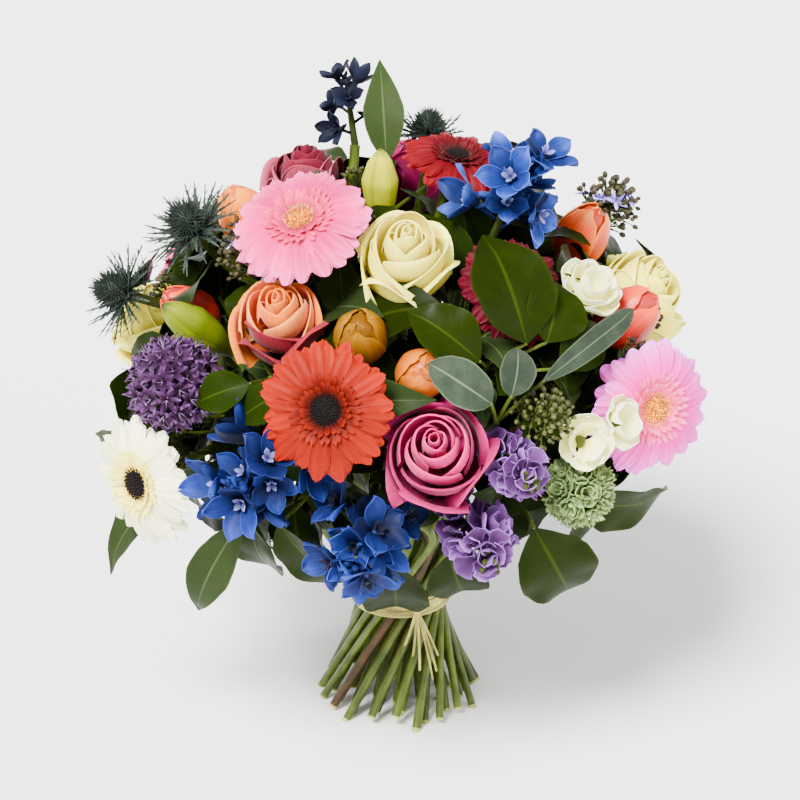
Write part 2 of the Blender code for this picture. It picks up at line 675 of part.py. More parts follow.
def stem_course(ring, turn, foot, axis, cut):
    """The corners of a stem: its cut end, the tie, the top of its straight run, its neck and its foot."""
    lean = math.radians(RING_LEANS[ring])
    angle = math.radians(turn - (RING_TWIST if ring else 0.0))
    out = Vector((math.sin(angle), -math.cos(angle), 0.0))
    side = Vector((math.cos(angle), math.sin(angle), 0.0))
    way = side * math.sin(lean) + Vector((0.0, 0.0, math.cos(lean)))
    tie = out * ring * STEM_PITCH + Vector((0.0, 0.0, TIE_HEIGHT))
    end = tie - way * (TIE_HEIGHT - cut) / way.z
    neck = foot - axis * min(0.45 * (foot - tie).length, 0.05)
    return [end, tie, tie + way * STEM_RISE, neck, foot]


def nearest(a, b, c, d):
    """The shares along straight pieces a-b and c-d at which they come nearest, for rows of pieces."""
    u, v, w = b - a, d - c, a - c
    uu, uv, vv = (u * u).sum(1), (u * v).sum(1), (v * v).sum(1)
    uw, vw = (u * w).sum(1), (v * w).sum(1)
    s = np.clip((uv * vw - vv * uw) / np.maximum(uu * vv - uv * uv, 1e-12), 0.0, 1.0)
    t = np.clip((uv * s + vw) / vv, 0.0, 1.0)
    return np.clip((uv * t - uw) / uu, 0.0, 1.0), t


def spread_stems(courses, bodies):
    """Bends the stems above the tie until no two touch and none runs through a bloom or a leaf."""
    names = list(courses)
    points = np.array([[list(point) for point in courses[name]] for name in names])
    homes = points.copy()
    stem = np.repeat(np.arange(len(names)), 3)
    low = np.tile(np.arange(1, 4), len(names))
    first, second = np.triu_indices(len(stem), 1)
    apart = stem[first] != stem[second]
    first, second = first[apart], second[apart]
    balls = np.array([[*middle, radius] for owner in bodies for middle, radius in bodies[owner]])
    owners = np.array([names.index(owner) for owner in bodies for _ in bodies[owner]])
    free = np.array((0.0, 0.0, 1.0, 1.0, 0.0))
    for _ in range(PUSHES):
        a, b = points[stem, low], points[stem, low + 1]
        shift, hits = np.zeros_like(points), np.zeros(points.shape[:2])

        def push(piece, share, way, amount):
            ends = np.stack(((1.0 - share) * free[low[piece]], share * free[low[piece] + 1]))
            gain = ends / np.maximum((ends * ends).sum(0), 0.05)
            for end in (0, 1):
                np.add.at(shift, (stem[piece], low[piece] + end), way * (gain[end] * amount)[:, None])
                np.add.at(hits, (stem[piece], low[piece] + end), 1.0)

        s, t = nearest(a[first], b[first], a[second], b[second])
        gap = a[first] + (b - a)[first] * s[:, None] - a[second] - (b - a)[second] * t[:, None]
        far = np.linalg.norm(gap, axis=1)
        near = np.nonzero(far < 2.0 * STEM_RADIUS + STEM_ROOM)[0]
        way = gap[near] / np.maximum(far[near], 1e-6)[:, None]
        lack = (2.0 * STEM_RADIUS + STEM_ROOM - far[near]) * 0.6
        push(first[near], s[near], way, lack)
        push(second[near], t[near], way, -lack)

        side = (b - a)[:, None, :]
        share = ((balls[None, :, :3] - a[:, None, :]) * side).sum(2) / (side * side).sum(2)
        share = np.clip(share, 0.0, 1.0)
        gap = a[:, None, :] + side * share[:, :, None] - balls[None, :, :3]
        far = np.linalg.norm(gap, axis=2)
        reach = balls[None, :, 3] + STEM_RADIUS + STEM_ROOM
        piece, ball = np.nonzero((far < reach) & (owners[None, :] != stem[:, None]))
        way = gap[piece, ball] / np.maximum(far[piece, ball], 1e-6)[:, None]
        push(piece, share[piece, ball], way, (reach[0, ball] - far[piece, ball]) * 0.8)

        points += shift / np.maximum(hits, 1.0)[:, :, None]
        stray = points - homes
        length = np.linalg.norm(stray, axis=2, keepdims=True)
        points = homes + stray * np.minimum(1.0, STRAY / np.maximum(length, 1e-9))
        if not len(near) and not len(piece):
            break
    return {name: [Vector(point) for point in row] for name, row in zip(names, points)}


# Balls that fill each kind of bloom, for the stems to pass: depth, ring radius, count and radius in widths.
FILLS = {
    "gerbera": ((0.10, 0.0, 1, 0.14), (0.03, 0.36, 8, 0.10), (0.03, 0.20, 5, 0.10)),
    "rose": ((0.36, 0.0, 1, 0.44), (0.60, 0.0, 1, 0.40)),
    "tulip": ((0.50, 0.0, 1, 0.48), (0.95, 0.0, 1, 0.48)),
    "lily": ((0.7, 0.0, 1, 0.45), (1.5, 0.0, 1, 0.45)),
    "lisianthus": ((0.2, 0.0, 1, 0.4), (0.55, 0.0, 1, 0.32)),
    "pea": ((0.05, 0.5, 2, 0.4), (0.4, 0.0, 1, 0.2)),
    "thistle": ((0.0, 0.0, 1, 0.36), (0.25, 0.40, 6, 0.14)),
    "allium": ((0.0, 0.0, 1, 0.48),),
    "delphinium": ((0.15, 0.0, 1, 1.05), (1.0, 0.0, 1, 1.0), (1.6, 0.0, 1, 0.4)),
    "stock": ((0.15, 0.0, 1, 1.05), (1.1, 0.0, 1, 1.05), (1.9, 0.0, 1, 0.4)),
    "snowball": ((0.5, 0.0, 1, 1.05),),
    "sprig": ((0.5, 0.0, 1, 2.2), (2.8, 0.0, 1, 1.6)),
}


def filling(row):
    face, axis, _ = bloom_place(row)
    frame, width, balls = facing(face, axis), row[8], []
    for back, ring, count, radius in FILLS[row[1]]:
        for ball in range(count):
            turn = 2.0 * math.pi * ball / count
            local = Vector((ring * math.cos(turn), ring * math.sin(turn), -back)) * width
            balls.append((frame @ local, radius * width))
    return balls


# Rows of balls across a leaf's blade: share of its length, half width and rise, in widths and lengths.
LEAF_FILLS = ((0.10, 0.05, 0.03), (0.35, 0.30, 0.09), (0.62, 0.28, 0.09), (0.85, 0.12, 0.04))


def leaf_filling(row):
    """Balls along the leaves and twig of a branch, for the stems to pass."""
    end, _, foot = branch_place(row)
    balls = [(foot.lerp(end, share), TWIG_RADIUS * 1.2) for share in (0.25, 0.5, 0.75, 1.0)]
    for turn_a, fall_a, lift_a, turn_b, fall_b, lift_b, width in row[-1]:
        knee, out_a = on_dome(turn_a, fall_a, lift_a)
        tip, out_b = on_dome(turn_b, fall_b, lift_b)
        side = (tip - knee).cross(out_a + out_b).normalized()
        bow = (out_a + out_b).normalized() * (tip - knee).length
        for share, wide, rise in LEAF_FILLS:
            for across in (-1, 0, 1):
                middle = knee.lerp(tip, share) + side * across * wide * width + bow * rise
                balls.append((middle, 0.004))
        balls += [(end.lerp(knee, share), PETIOLE * 1.4) for share in (0.25, 0.5, 0.75)]
    return balls


def cut_height(ring, index):
    """How far above the surface a stem is cut: the steep ones and every third outer one reach it."""
    if ring < 3 or index % 3 == 0:
        return 0.0
    lean = math.radians(RING_LEANS[ring])
    slant = STEM_RADIUS * math.sin(lean)
    return max(slant, TIE_HEIGHT - CUT_LENGTH * math.cos(lean)) + 0.0015 * (index % 5)


def stem_courses():
    """The course of each stem, and which of them stand side by side at the tie."""
    places = {row[0]: bloom_place(row) for row in BLOOMS}
    places.update({row[0]: branch_place(row) for row in BRANCHES})
    ends = {row[0]: (row[3], row[4]) for row in BLOOMS}
    ends.update({row[0]: (row[2], row[3]) for row in BRANCHES})
    slots = tie_slots(ends)
    courses, groups = {}, {}
    for index, name in enumerate(sorted(slots, key=slots.get)):
        _, axis, foot = places[name]
        ring, turn = slots[name]
        courses[name] = stem_course(ring, turn, foot, axis, cut_height(ring, index))
        sector = int((turn - RING_TWIST) % 360.0 * BUNDLES / 360.0) if ring else 0
        groups.setdefault(sector, []).append(name)
    bodies = {row[0]: filling(row) for row in BLOOMS}
    bodies.update({row[0]: leaf_filling(row) for row in BRANCHES})
    return spread_stems(courses, bodies), groups, places


def stem_solid(course, axis):
    """A stem, cut level where it stands on the surface and square to its bloom at its foot."""
    end, tie, top, neck, foot = course
    points = [end, tie, top, neck, foot + (foot - neck).normalized() * 0.002]
    if end.z < 1e-6:
        points[0] = end - (tie - end).normalized() * 4.0 * STEM_RADIUS
    made = rod(points, [STEM_RADIUS] * 4 + [STEM_RADIUS * 1.4])
    if end.z < 1e-6:
        made = trimmed(made, (0, 0, 0), (0, 0, -1))
    return trimmed(made, foot - axis * SEAT_GAP, axis)


def links(middles):
    """Short rods inside the tie, each from a stem to its nearest neighbour, so a bundle is one solid."""
    made, joined = [], [middles[0]]
    left = list(middles[1:])
    while left:
        near, far = min(((a, b) for a in joined for b in left), key=lambda pair: (pair[0] - pair[1]).length)
        made.append(spike(near, far, LINK_RADIUS, LINK_RADIUS))
        joined.append(far)
        left.remove(far)
    return made


def make_stems(courses, groups, places):
    for number, names in sorted(groups.items()):
        pieces = [stem_solid(courses[name], places[name][1]) for name in names]
        pieces += links([courses[name][1] for name in names])
        fuse(f"stems_{number + 1}", pieces, "stem")


def make_blooms():
    for number, row in enumerate(BLOOMS):
        name, kind, colour, *_, width = row
        face, axis, _ = bloom_place(row)
        pieces = KINDS[kind](width, width * DEPTHS[kind], random.Random(number + 1))
        fuse(name, pieces, colour, facing(face, axis))


# The half width of each kind of leaf, as shares of the greatest: at the middle and towards the tip.
LEAF_SHAPES = {"salal": (0.98, 0.80), "laurel": (0.98, 0.76), "ruscus": (1.0, 0.62),
               "eucalyptus": (0.86, 0.96)}


def leaf(start, knee, tip, width, normal, kind):
    """A blade on its stalk: the stalk runs from start to knee, and the blade bows from there to its tip."""
    length = (tip - knee).length
    way = (tip - knee) / length
    side = way.cross(normal).normalized()
    up = side.cross(way)
    full, end = LEAF_SHAPES[kind]

    def shape(across, share):
        if share < PETIOLE_SHARE + 1e-6:
            return start.lerp(knee, share / PETIOLE_SHARE) + side * across * PETIOLE
        blade = (share - PETIOLE_SHARE) / (1.0 - PETIOLE_SHARE)
        half = width / 2.0 * (full if blade < 0.5 else end if blade < 0.9 else 0.0)
        rise = math.sin(math.pi * blade) * length * 0.10 + abs(across) * half * 0.2
        return knee + way * length * blade + side * across * half + up * rise

    return sheet(2 if kind == "salal" else 1, 4, shape, LEAF)


def make_branches():
    for row in BRANCHES:
        name, kind, leaves = row[0], row[1], row[-1]
        end, axis, foot = branch_place(row)
        pieces = [rod((foot, end), (TWIG_RADIUS * 1.3, TWIG_RADIUS * 0.8))]
        for index, (turn_a, fall_a, lift_a, turn_b, fall_b, lift_b, width) in enumerate(leaves):
            knee, out_a = on_dome(turn_a, fall_a, lift_a)
            tip, out_b = on_dome(turn_b, fall_b, lift_b)
            start = end - axis * (0.0015 + 0.005 * index)
            pieces.append(leaf(start, knee, tip, width, (out_a + out_b).normalized(), kind))
        fuse(name, pieces, kind)


def make_tie():
    """Raffia wound round the stems, with a knot and two ends that hang from it."""
    rise = 1.7 * RAFFIA_THICKNESS
    edge = RAFFIA_STRANDS * rise * math.tan(math.radians(RING_LEANS[-1]))
    around = math.hypot((len(RING_LEANS) - 1) * STEM_PITCH, edge) + STEM_RADIUS + RAFFIA_GAP
    inner = around / math.cos(math.pi / RAFFIA_SIDES)
    section = [(inner, RAFFIA_STRANDS * rise), (inner, -RAFFIA_STRANDS * rise)]
    for strand in range(-RAFFIA_STRANDS, RAFFIA_STRANDS + 1):
        section.append((inner + RAFFIA_THICKNESS * (1.0 if strand % 2 else 1.7), strand * rise))
    bm = bmesh.new()
    points = [bm.verts.new((r, 0.0, TIE_HEIGHT + z)) for r, z in section]
    for a, b in zip(points, points[1:] + points[:1]):
        bm.edges.new((a, b))
    band = add_mesh("band", bm)
    screw = band.modifiers.new("turn", "SCREW")
    screw.steps = screw.render_steps = RAFFIA_SIDES
    screw.use_merge_vertices = True
    screw.merge_threshold = 1e-5
    pieces = [closed(settled(band))]
    knot = along(18, 0) * (inner + 2.0 * RAFFIA_THICKNESS) + Vector((0, 0, TIE_HEIGHT))
    bow = bmesh.new()
    bmesh.ops.create_icosphere(bow, subdivisions=1, radius=0.0042)
    ball = add_mesh("knot", bow)
    ball.data.transform(Matrix.Translation(knot))
    pieces.append(ball)
    for turn, drop in ((26, 0.036), (10, 0.026)):
        low = along(turn, 0) * (inner + drop * 0.62) + Vector((0, 0, TIE_HEIGHT - drop))
        middle = knot.lerp(low, 0.5) + along(turn, 0) * 0.003
        pieces.append(rod((knot, middle, low), (0.0012, 0.0014, 0.0009), 4))
    fuse("raffia_tie", pieces, "raffia")


def main():
    for obj in list(bpy.data.objects):
        bpy.data.objects.remove(obj)
    for name in ("bouquet", "loose"):
        bpy.context.scene.collection.children.link(bpy.data.collections.new(name))
    make_blooms()
    make_branches()
    make_stems(*stem_courses())
    make_tie()
    for obj in bpy.data.collections["bouquet"].objects:
        obj.matrix_world = Matrix.Translation(TIE_PLACE) @ obj.matrix_world


main()
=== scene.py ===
"""Petals, leaves, stems and raffia for a hand-tied bouquet, with a floor, lights and a camera.

Each solid of the bouquet is replaced by a finer piece of the same form in the same place. The places come
from the same tables as the solids. Units are metres. A turn is an angle round +Z, 0 towards -Y and 90
towards +X. A fall is measured down the dome from its top, and a rise is an angle above the horizon. A
bloom is made with its face at the origin, looking along +Z, its -Y side low, and is then put in its place.
While it is made, its turns are in radians and start from +X.
"""

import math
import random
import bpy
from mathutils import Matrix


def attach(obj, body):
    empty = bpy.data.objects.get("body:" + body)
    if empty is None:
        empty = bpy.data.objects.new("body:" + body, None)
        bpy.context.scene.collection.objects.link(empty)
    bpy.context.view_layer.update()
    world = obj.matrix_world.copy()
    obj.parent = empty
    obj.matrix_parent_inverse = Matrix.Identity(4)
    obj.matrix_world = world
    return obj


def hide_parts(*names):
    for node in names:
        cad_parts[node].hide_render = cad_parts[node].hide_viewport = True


bl_info = {
    "name": "Hand-tied bouquet",
    "version": (1, 0, 0),
    "blender": (4, 5, 0),
    "location": "View3D > Sidebar > Bouquet",
    "description": "Blooms, leaves, stems and raffia round the bouquet's solids",
    "category": "Object",
}

import bpy
import numpy as np
from bpy.props import FloatProperty, FloatVectorProperty, IntProperty, PointerProperty
from mathutils import Matrix, Vector

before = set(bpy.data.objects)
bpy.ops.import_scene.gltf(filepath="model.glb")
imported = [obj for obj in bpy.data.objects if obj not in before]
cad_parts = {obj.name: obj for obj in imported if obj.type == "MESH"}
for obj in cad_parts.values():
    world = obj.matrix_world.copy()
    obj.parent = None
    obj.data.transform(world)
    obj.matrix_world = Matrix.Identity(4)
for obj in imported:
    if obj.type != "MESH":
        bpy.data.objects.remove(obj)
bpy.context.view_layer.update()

# The dome on which the faces of the blooms lie, and the place of the tie's axis.
DOME_RADIUS = 0.176
DOME_HALF_HEIGHT = 0.126
DOME_CENTRE = 0.238
TIE_PLACE = (0.0048, -0.0067, 0.0)
TIE_HEIGHT = 0.078

# The stems: their pitch at the tie, the lean of each ring of them and the turn that winds them, in degrees,
# their least length below the tie, and their straight run above it.
STEM_RADIUS = 0.0030
STEM_PITCH = 0.0065
RING_LEANS = (0.0, 11.0, 20.0, 27.0, 30.0)
RING_TWIST = 72.0
CUT_LENGTH = 0.088
BUNDLES = 5
STEM_RISE = 0.060

# The gap that the stems keep, the most rounds of pushing them apart and how far a corner may go.
STEM_ROOM = 0.0011
PUSHES = 800
STRAY = 0.045

# The radius of a leaf's stalk and of a branch's twig.
PETIOLE = 0.0012
TWIG_RADIUS = 0.0020

# The gap between the raffia and the stems, and how far one of its rows is above the next.
RAFFIA_GAP = 0.0022
RAFFIA_RISE = 0.0027

# Angles in radians. The golden turn lies between each floret and the next where they fill a disc evenly.
CIRCLE = 2.0 * math.pi
QUARTER = 0.5 * math.pi
GOLDEN_TURN = math.pi * (3.0 - math.sqrt(5.0))

# The sRGB share up to which the curve is a straight line.
NO_GAMMA = 0.04045

# Each bloom: name, kind, slot, turn, fall and lift of its face, turn and rise of the way it faces, width.
BLOOMS = (
    ("gerbera_orange", "gerbera", "orange", -14, 71, 0.008, -10, 27, 0.084),
    ("gerbera_pink", "gerbera", "pink", -39, 30, 0.014, -25, 60, 0.088),
    ("gerbera_red", "gerbera", "red", 112, 12, 0.006, 50, 76, 0.070),
    ("gerbera_crimson", "gerbera", "crimson", 41, 40, -0.016, 34, 52, 0.074),
    ("gerbera_blush", "gerbera", "pink", 56, 84, 0.006, 30, 12, 0.088),
    ("gerbera_white", "gerbera", "white", -54, 101, 0.020, -46, 4, 0.086),
    ("gerbera_back_orange", "gerbera", "orange", 160, 66, 0.000, 160, 30, 0.080),
    ("gerbera_back_pink", "gerbera", "pink", -130, 78, 0.000, -130, 18, 0.084),
    ("rose_cream", "rose", "cream", 3, 30, 0.010, 6, 58, 0.064),
    ("rose_pink", "rose", "rose_pink", 6, 80, 0.008, -4, 34, 0.066),
    ("rose_peach", "rose", "peach", -35, 48, -0.002, -14, 54, 0.058),
    ("rose_raspberry", "rose", "raspberry", -126, 26, 0.012, -110, 78, 0.050),
    ("rose_cream_right", "rose", "cream", 92, 68, 0.008, 72, 40, 0.070),
    ("rose_cream_left", "rose", "cream", -94, 78, 0.008, -88, 28, 0.056),
    ("rose_back_pink", "rose", "rose_pink", 178, 40, 0.006, 178, 52, 0.056),
    ("rose_back_peach", "rose", "peach", 132, 83, 0.006, 130, 16, 0.056),
    ("rose_back_cream", "rose", "cream", -162, 61, 0.008, -162, 34, 0.056),
    ("tulip_orange", "tulip", "apricot", 92, 42, 0.010, 70, 62, 0.032),
    ("tulip_salmon", "tulip", "salmon", 70, 61, 0.014, 72, 44, 0.034),
    ("tulip_peach", "tulip", "apricot", -96, 35, 0.012, -80, 66, 0.032),
    ("tulip_gold", "tulip", "gold", -10, 50, 0.006, -4, 44, 0.031),
    ("tulip_apricot", "tulip", "apricot", 5, 60, 0.004, 4, 34, 0.029),
    ("tulip_red", "tulip", "salmon", -75, 59, -0.002, -72, 44, 0.030),
    ("tulip_back", "tulip", "salmon", 145, 52, 0.008, 145, 44, 0.032),
    ("lisianthus_white", "lisianthus", "white", 57, 50, 0.004, 44, 54, 0.040),
    ("lily_bud_top", "lily", "lime", -30, 7, 0.022, 0, 84, 0.022),
    ("lily_bud_left", "lily", "lime", -64, 60, 0.006, -74, 40, 0.024),
    ("sweet_pea_white", "pea", "white", 41, 83, 0.010, 36, 20, 0.034),
    ("thistle_left", "thistle", "thistle", -82, 67, 0.016, -78, 22, 0.044),
    ("thistle_upper", "thistle", "thistle", -78, 44, 0.016, -66, 54, 0.046),
    ("thistle_top", "thistle", "thistle", 165, 22, 0.014, 170, 70, 0.036),
    ("allium_left", "allium", "violet", -51, 75, 0.002, -52, 18, 0.060),
    ("allium_back", "allium", "violet", 178, 88, 0.012, 178, 8, 0.058),
    ("delphinium_right", "delphinium", "blue", 60, 25, 0.034, 50, 66, 0.036),
    ("delphinium_left", "delphinium", "blue", -28, 90, 0.022, -30, 4, 0.036),
    ("delphinium_low", "delphinium", "blue", -8, 107, 0.020, -10, -14, 0.036),
    ("delphinium_top", "delphinium", "midnight", -152, 20, 0.044, -140, 78, 0.021),
    ("delphinium_back", "delphinium", "blue", -172, 108, 0.010, -172, -8, 0.036),
    ("stock_mid", "stock", "mauve", 23.5, 90, 0.006, 24, 0, 0.023),
    ("stock_low", "stock", "mauve", 17, 112, 0.010, 16, -20, 0.028),
    ("stock_back", "stock", "mauve", -148, 100, 0.006, -148, 0, 0.028),
    ("snowball_green", "snowball", "jade", 39, 101, 0.006, 38, 0, 0.024),
    ("berries_front", "sprig", "moss", 29, 75, 0.008, 28, 36, 0.007),
    ("waxflower_right", "sprig", "wax", 112, 52, 0.014, 104, 46, 0.008),
    ("waxflower_left", "sprig", "wax", -58, 38, 0.004, -60, 56, 0.008),
)

# How far each kind of bloom reaches back from its face to its stem, in widths of the bloom.
DEPTHS = {"gerbera": 0.17, "rose": 0.88, "tulip": 1.55, "lisianthus": 0.95, "lily": 2.3, "pea": 0.9,
          "thistle": 0.78, "allium": 0.5, "delphinium": 1.9, "stock": 1.9, "snowball": 1.6,
          "sprig": 5.5}

# Florets and buds have thinner petals than the size in the sidebar.
THIN_PETALS = {"allium": 0.0003, "delphinium": 0.0004, "stock": 0.0004, "snowball": 0.0004, "sprig": 0.0004}

# Each leafy branch: name, kind, turn, fall and lift of its twig's upper end, turn and rise of its way
# there, length, then its leaves. A leaf: turn, fall and lift of its knee, where the blade begins, and of
# its tip, and its width.
BRANCHES = (
    ("salal_centre", "salal", 24, 57, -0.026, 24, 50, 0.030, (
        (30, 57, -0.002, 30, 32, 0.014, 0.054),
        (18, 59, -0.004, 2, 46, 0.002, 0.036),
        (35, 58, -0.002, 46, 46, 0.004, 0.040),
        (38, 65, -0.008, 52, 58, -0.002, 0.030),
    )),
    ("eucalyptus_front", "eucalyptus", 22, 76, -0.022, 22, 40, 0.030, (
        (18, 70, 0.004, 6, 60, 0.012, 0.027),
        (22, 69, 0.006, 25, 59, 0.012, 0.022),
        (30, 67, 0.004, 59, 60, 0.014, 0.015),
    )),
    ("salal_low", "salal", 32, 114, -0.040, 32, 10, 0.030, (
        (30, 113, -0.004, 46, 134, 0.030, 0.050),
        (46, 114, -0.012, 70, 114, 0.018, 0.042),
        (12, 124, -0.008, 22, 144, 0.010, 0.038),
        (56, 124, -0.014, 78, 134, 0.008, 0.046),
    )),
    ("salal_left", "salal", -24, 116, -0.040, -24, 10, 0.030, (
        (-28, 114, -0.010, -12, 137, 0.004, 0.044),
        (-2, 126, -0.006, -2, 152, 0.018, 0.042),
        (-38, 120, -0.010, -42, 142, 0.006, 0.038),
    )),
    ("laurel_upper_left", "laurel", -38, 64, -0.040, -38, 50, 0.030, (
        (-33, 68, -0.004, -43, 77, 0.004, 0.026),
        (-24, 66, -0.010, -36, 80, -0.008, 0.024),
        (-52, 52, -0.030, -58, 40, -0.024, 0.028),
    )),
    ("laurel_back_left", "laurel", -126, 98, -0.040, -126, 20, 0.030, (
        (-110, 94, -0.006, -109, 66, 0.004, 0.040),
        (-112, 106, -0.006, -98, 124, 0.012, 0.052),
        (-132, 114, -0.006, -128, 140, 0.014, 0.052),
        (-154, 86, -0.012, -150, 66, 0.000, 0.040),
        (-98, 98, -0.012, -84, 110, 0.006, 0.044),
        (-156, 118, -0.006, -160, 142, 0.012, 0.048),
    )),
    ("laurel_back_right", "laurel", 140, 110, -0.044, 140, 10, 0.030, (
        (110, 90, -0.006, 111, 64, 0.006, 0.044),
        (118, 108, -0.006, 104, 126, 0.012, 0.052),
        (142, 116, -0.006, 138, 142, 0.012, 0.052),
        (160, 108, -0.006, 168, 130, 0.010, 0.050),
        (148, 96, -0.012, 146, 74, -0.006, 0.044),
        (104, 106, -0.010, 84, 108, 0.012, 0.044),
    )),
    ("ruscus_left", "ruscus", -70, 116, -0.044, -70, 10, 0.030, (
        (-36, 112, -0.004, -53, 134, 0.052, 0.028),
        (-68, 118, -0.002, -70, 124, 0.066, 0.028),
        (-80, 110, -0.006, -94, 110, 0.034, 0.026),
        (-76, 126, -0.010, -84, 144, 0.010, 0.040),
    )),
    ("ruscus_top", "ruscus", -168, 12, -0.030, -168, 76, 0.030, (
        (-160, 8, -0.002, -168, 16, 0.058, 0.026),
        (152, 30, -0.006, 132, 40, 0.014, 0.040),
        (-158, 32, -0.010, -144, 46, 0.008, 0.042),
    )),
)

# Balls that fill each kind of bloom, for the stems to pass: how far back, the radius of their ring, their
# count and their own radius. All but the count are in widths of the bloom.
FILLS = {
    "gerbera": ((0.10, 0.0, 1, 0.14), (0.03, 0.36, 8, 0.10), (0.03, 0.20, 5, 0.10)),
    "rose": ((0.36, 0.0, 1, 0.44), (0.60, 0.0, 1, 0.40)),
    "tulip": ((0.50, 0.0, 1, 0.48), (0.95, 0.0, 1, 0.48)),
    "lily": ((0.7, 0.0, 1, 0.45), (1.5, 0.0, 1, 0.45)),
    "lisianthus": ((0.2, 0.0, 1, 0.4), (0.55, 0.0, 1, 0.32)),
    "pea": ((0.05, 0.5, 2, 0.4), (0.4, 0.0, 1, 0.2)),
    "thistle": ((0.0, 0.0, 1, 0.36), (0.25, 0.40, 6, 0.14)),
    "allium": ((0.0, 0.0, 1, 0.48),),
    "delphinium": ((0.15, 0.0, 1, 1.05), (1.0, 0.0, 1, 1.0), (1.6, 0.0, 1, 0.4)),
    "stock": ((0.15, 0.0, 1, 1.05), (1.1, 0.0, 1, 1.05), (1.9, 0.0, 1, 0.4)),
    "snowball": ((0.5, 0.0, 1, 1.05),),
    "sprig": ((0.5, 0.0, 1, 2.2), (2.8, 0.0, 1, 1.6)),
}

# Rows of balls across a leaf's blade: share of its length, half width and rise, in widths and lengths.
LEAF_FILLS = ((0.10, 0.05, 0.03), (0.35, 0.30, 0.09), (0.62, 0.28, 0.09), (0.85, 0.12, 0.04))

# The half width of each kind of blade along its length, as shares of the greatest.
BLADE_STEPS = (0.0, 0.06, 0.18, 0.32, 0.48, 0.66, 0.82, 0.93, 1.0)
BLADES = {
    "salal": (0.05, 0.34, 0.74, 0.95, 1.0, 0.86, 0.56, 0.24, 0.02),
    "laurel": (0.05, 0.30, 0.66, 0.90, 1.0, 0.82, 0.50, 0.22, 0.02),
    "ruscus": (0.05, 0.30, 0.68, 0.92, 1.0, 0.72, 0.40, 0.17, 0.02),
    "eucalyptus": (0.07, 0.40, 0.74, 0.92, 1.0, 0.96, 0.76, 0.46, 0.06),
}


def linear(code):
    """The linear colour of an sRGB hex value. A colour that is linear already stays as it is."""
    if not isinstance(code, str):
        return code
    shares = [int(code[place:place + 2], 16) / 255.0 for place in (0, 2, 4)]
    return [s / 12.92 if s <= NO_GAMMA else ((s + 0.055) / 1.055) ** 2.4 for s in shares]


def colour(name, code):
    """A colour that can be changed in the sidebar."""
    return FloatVectorProperty(name=name, description=f"Colour of the {name.lower()}", subtype="COLOR",
                               min=0.0, max=1.0, default=linear(code))


def length(name, description, default):
    """A length that can be changed in the sidebar."""
    return FloatProperty(name=name, description=description, default=default, min=0.0, unit="LENGTH",
                         precision=5)


class BouquetSizes(bpy.types.PropertyGroup):
    """Sizes and counts of what the bouquet is made of."""
    petal: length("Petal", "Thickness of the petals", 0.00045)
    leaf: length("Leaf", "Thickness of the leaves", 0.00055)
    stem: length("Stem", "Radius of the thickest stems", STEM_RADIUS)
    raffia: length("Raffia", "Width of a strand of raffia", 0.0019)
    rays: IntProperty(name="Rays", description="Rays in each whorl of a gerbera", default=20, min=8)
    stars: IntProperty(name="Stars", description="Florets of an allium", default=74, min=12)
    filler: IntProperty(name="Filler", description="Leaves that fill the gaps between the blooms",
                        default=380, min=0)


def sizes():
    """The sizes and counts as they stand in the sidebar."""
    return bpy.context.scene.bouquet_sizes


class BouquetColours(bpy.types.PropertyGroup):
    """Colours of the petals, leaves, stems and raffia."""
    orange: colour("Orange gerbera", "841200")
    pink: colour("Pink gerbera", "ed107c")
    red: colour("Red gerbera", "67000d")
    crimson: colour("Crimson gerbera", "480011")
    blush: colour("Blush gerbera", "ff23b1")
    white: colour("White gerbera", "fffcc8")
    cream: colour("Cream rose", "ffec53")
    rose_pink: colour("Hot pink rose", "c7036d")
    peach: colour("Peach rose", "ff8000")
    raspberry: colour("Raspberry rose", "630823")
    apricot: colour("Orange tulip", "c35a00")
    salmon: colour("Salmon tulip", "ba281e")
    gold: colour("Golden tulip", "734600")
    lime: colour("Lily bud", "9da100")
    thistle: colour("Thistle", "29332c")
    violet: colour("Allium", "351a36")
    blue: colour("Delphinium", "15296c")
    midnight: colour("Delphinium bud", "121527")
    mauve: colour("Stock", "5a3067")
    jade: colour("Green florets", "789256")
    wax: colour("Grey-brown buds", "37331d")
    moss: colour("Moss-green buds", "41451d")
    salal: colour("Salal leaf", "141e03")
    laurel: colour("Laurel leaf", "152103")
    ruscus: colour("Ruscus leaf", "232f15")
    eucalyptus: colour("Eucalyptus leaf", "242d23")
    stem: colour("Stem", "384801")
    raffia: colour("Raffia", "a2934f")


# Materials. Each is a real surface of a cut bouquet, and its comment says what that gives the eye.

SMOOTH = {"interpolation_type": "SMOOTHSTEP"}
COLOUR = {"data_type": "RGBA"}


def feed(tree, node, inputs):
    """Gives each input a value, a colour or a link. A node as a value stands for its first live output."""
    for key, value in inputs.items():
        socket = node.inputs[key]
        if isinstance(value, bpy.types.Node):
            value = next(output for output in value.outputs if output.enabled)
        if isinstance(value, bpy.types.NodeSocket):
            tree.links.new(value, socket)
        else:
            socket.default_value = (*linear(value), 1.0) if socket.type == "RGBA" else value


def add_node(tree, kind, inputs=None, **settings):
    """A new node with its settings and what feeds its inputs. A Mix node takes its share at 0 and its
    colours at 6 and 7, and a MapRange node its value at 0 and its two ranges at 1 to 4."""
    made = tree.nodes.new("ShaderNode" + kind)
    for key, value in settings.items():
        setattr(made, key, value)
    feed(tree, made, inputs or {})
    return made


def started(name):
    """A new material's tree, its coordinates, the two ways of a piece's own map, and each petal's tone."""
    made = bpy.data.materials.new(name)
    made.use_nodes = True
    tree = made.node_tree
    place = add_node(tree, "TexCoord")
    flat = add_node(tree, "SeparateXYZ", {0: place.outputs["UV"]})
    tone = add_node(tree, "Attribute", attribute_name="tone").outputs["Fac"]
    return tree, place, flat.outputs[0], flat.outputs[1], tone


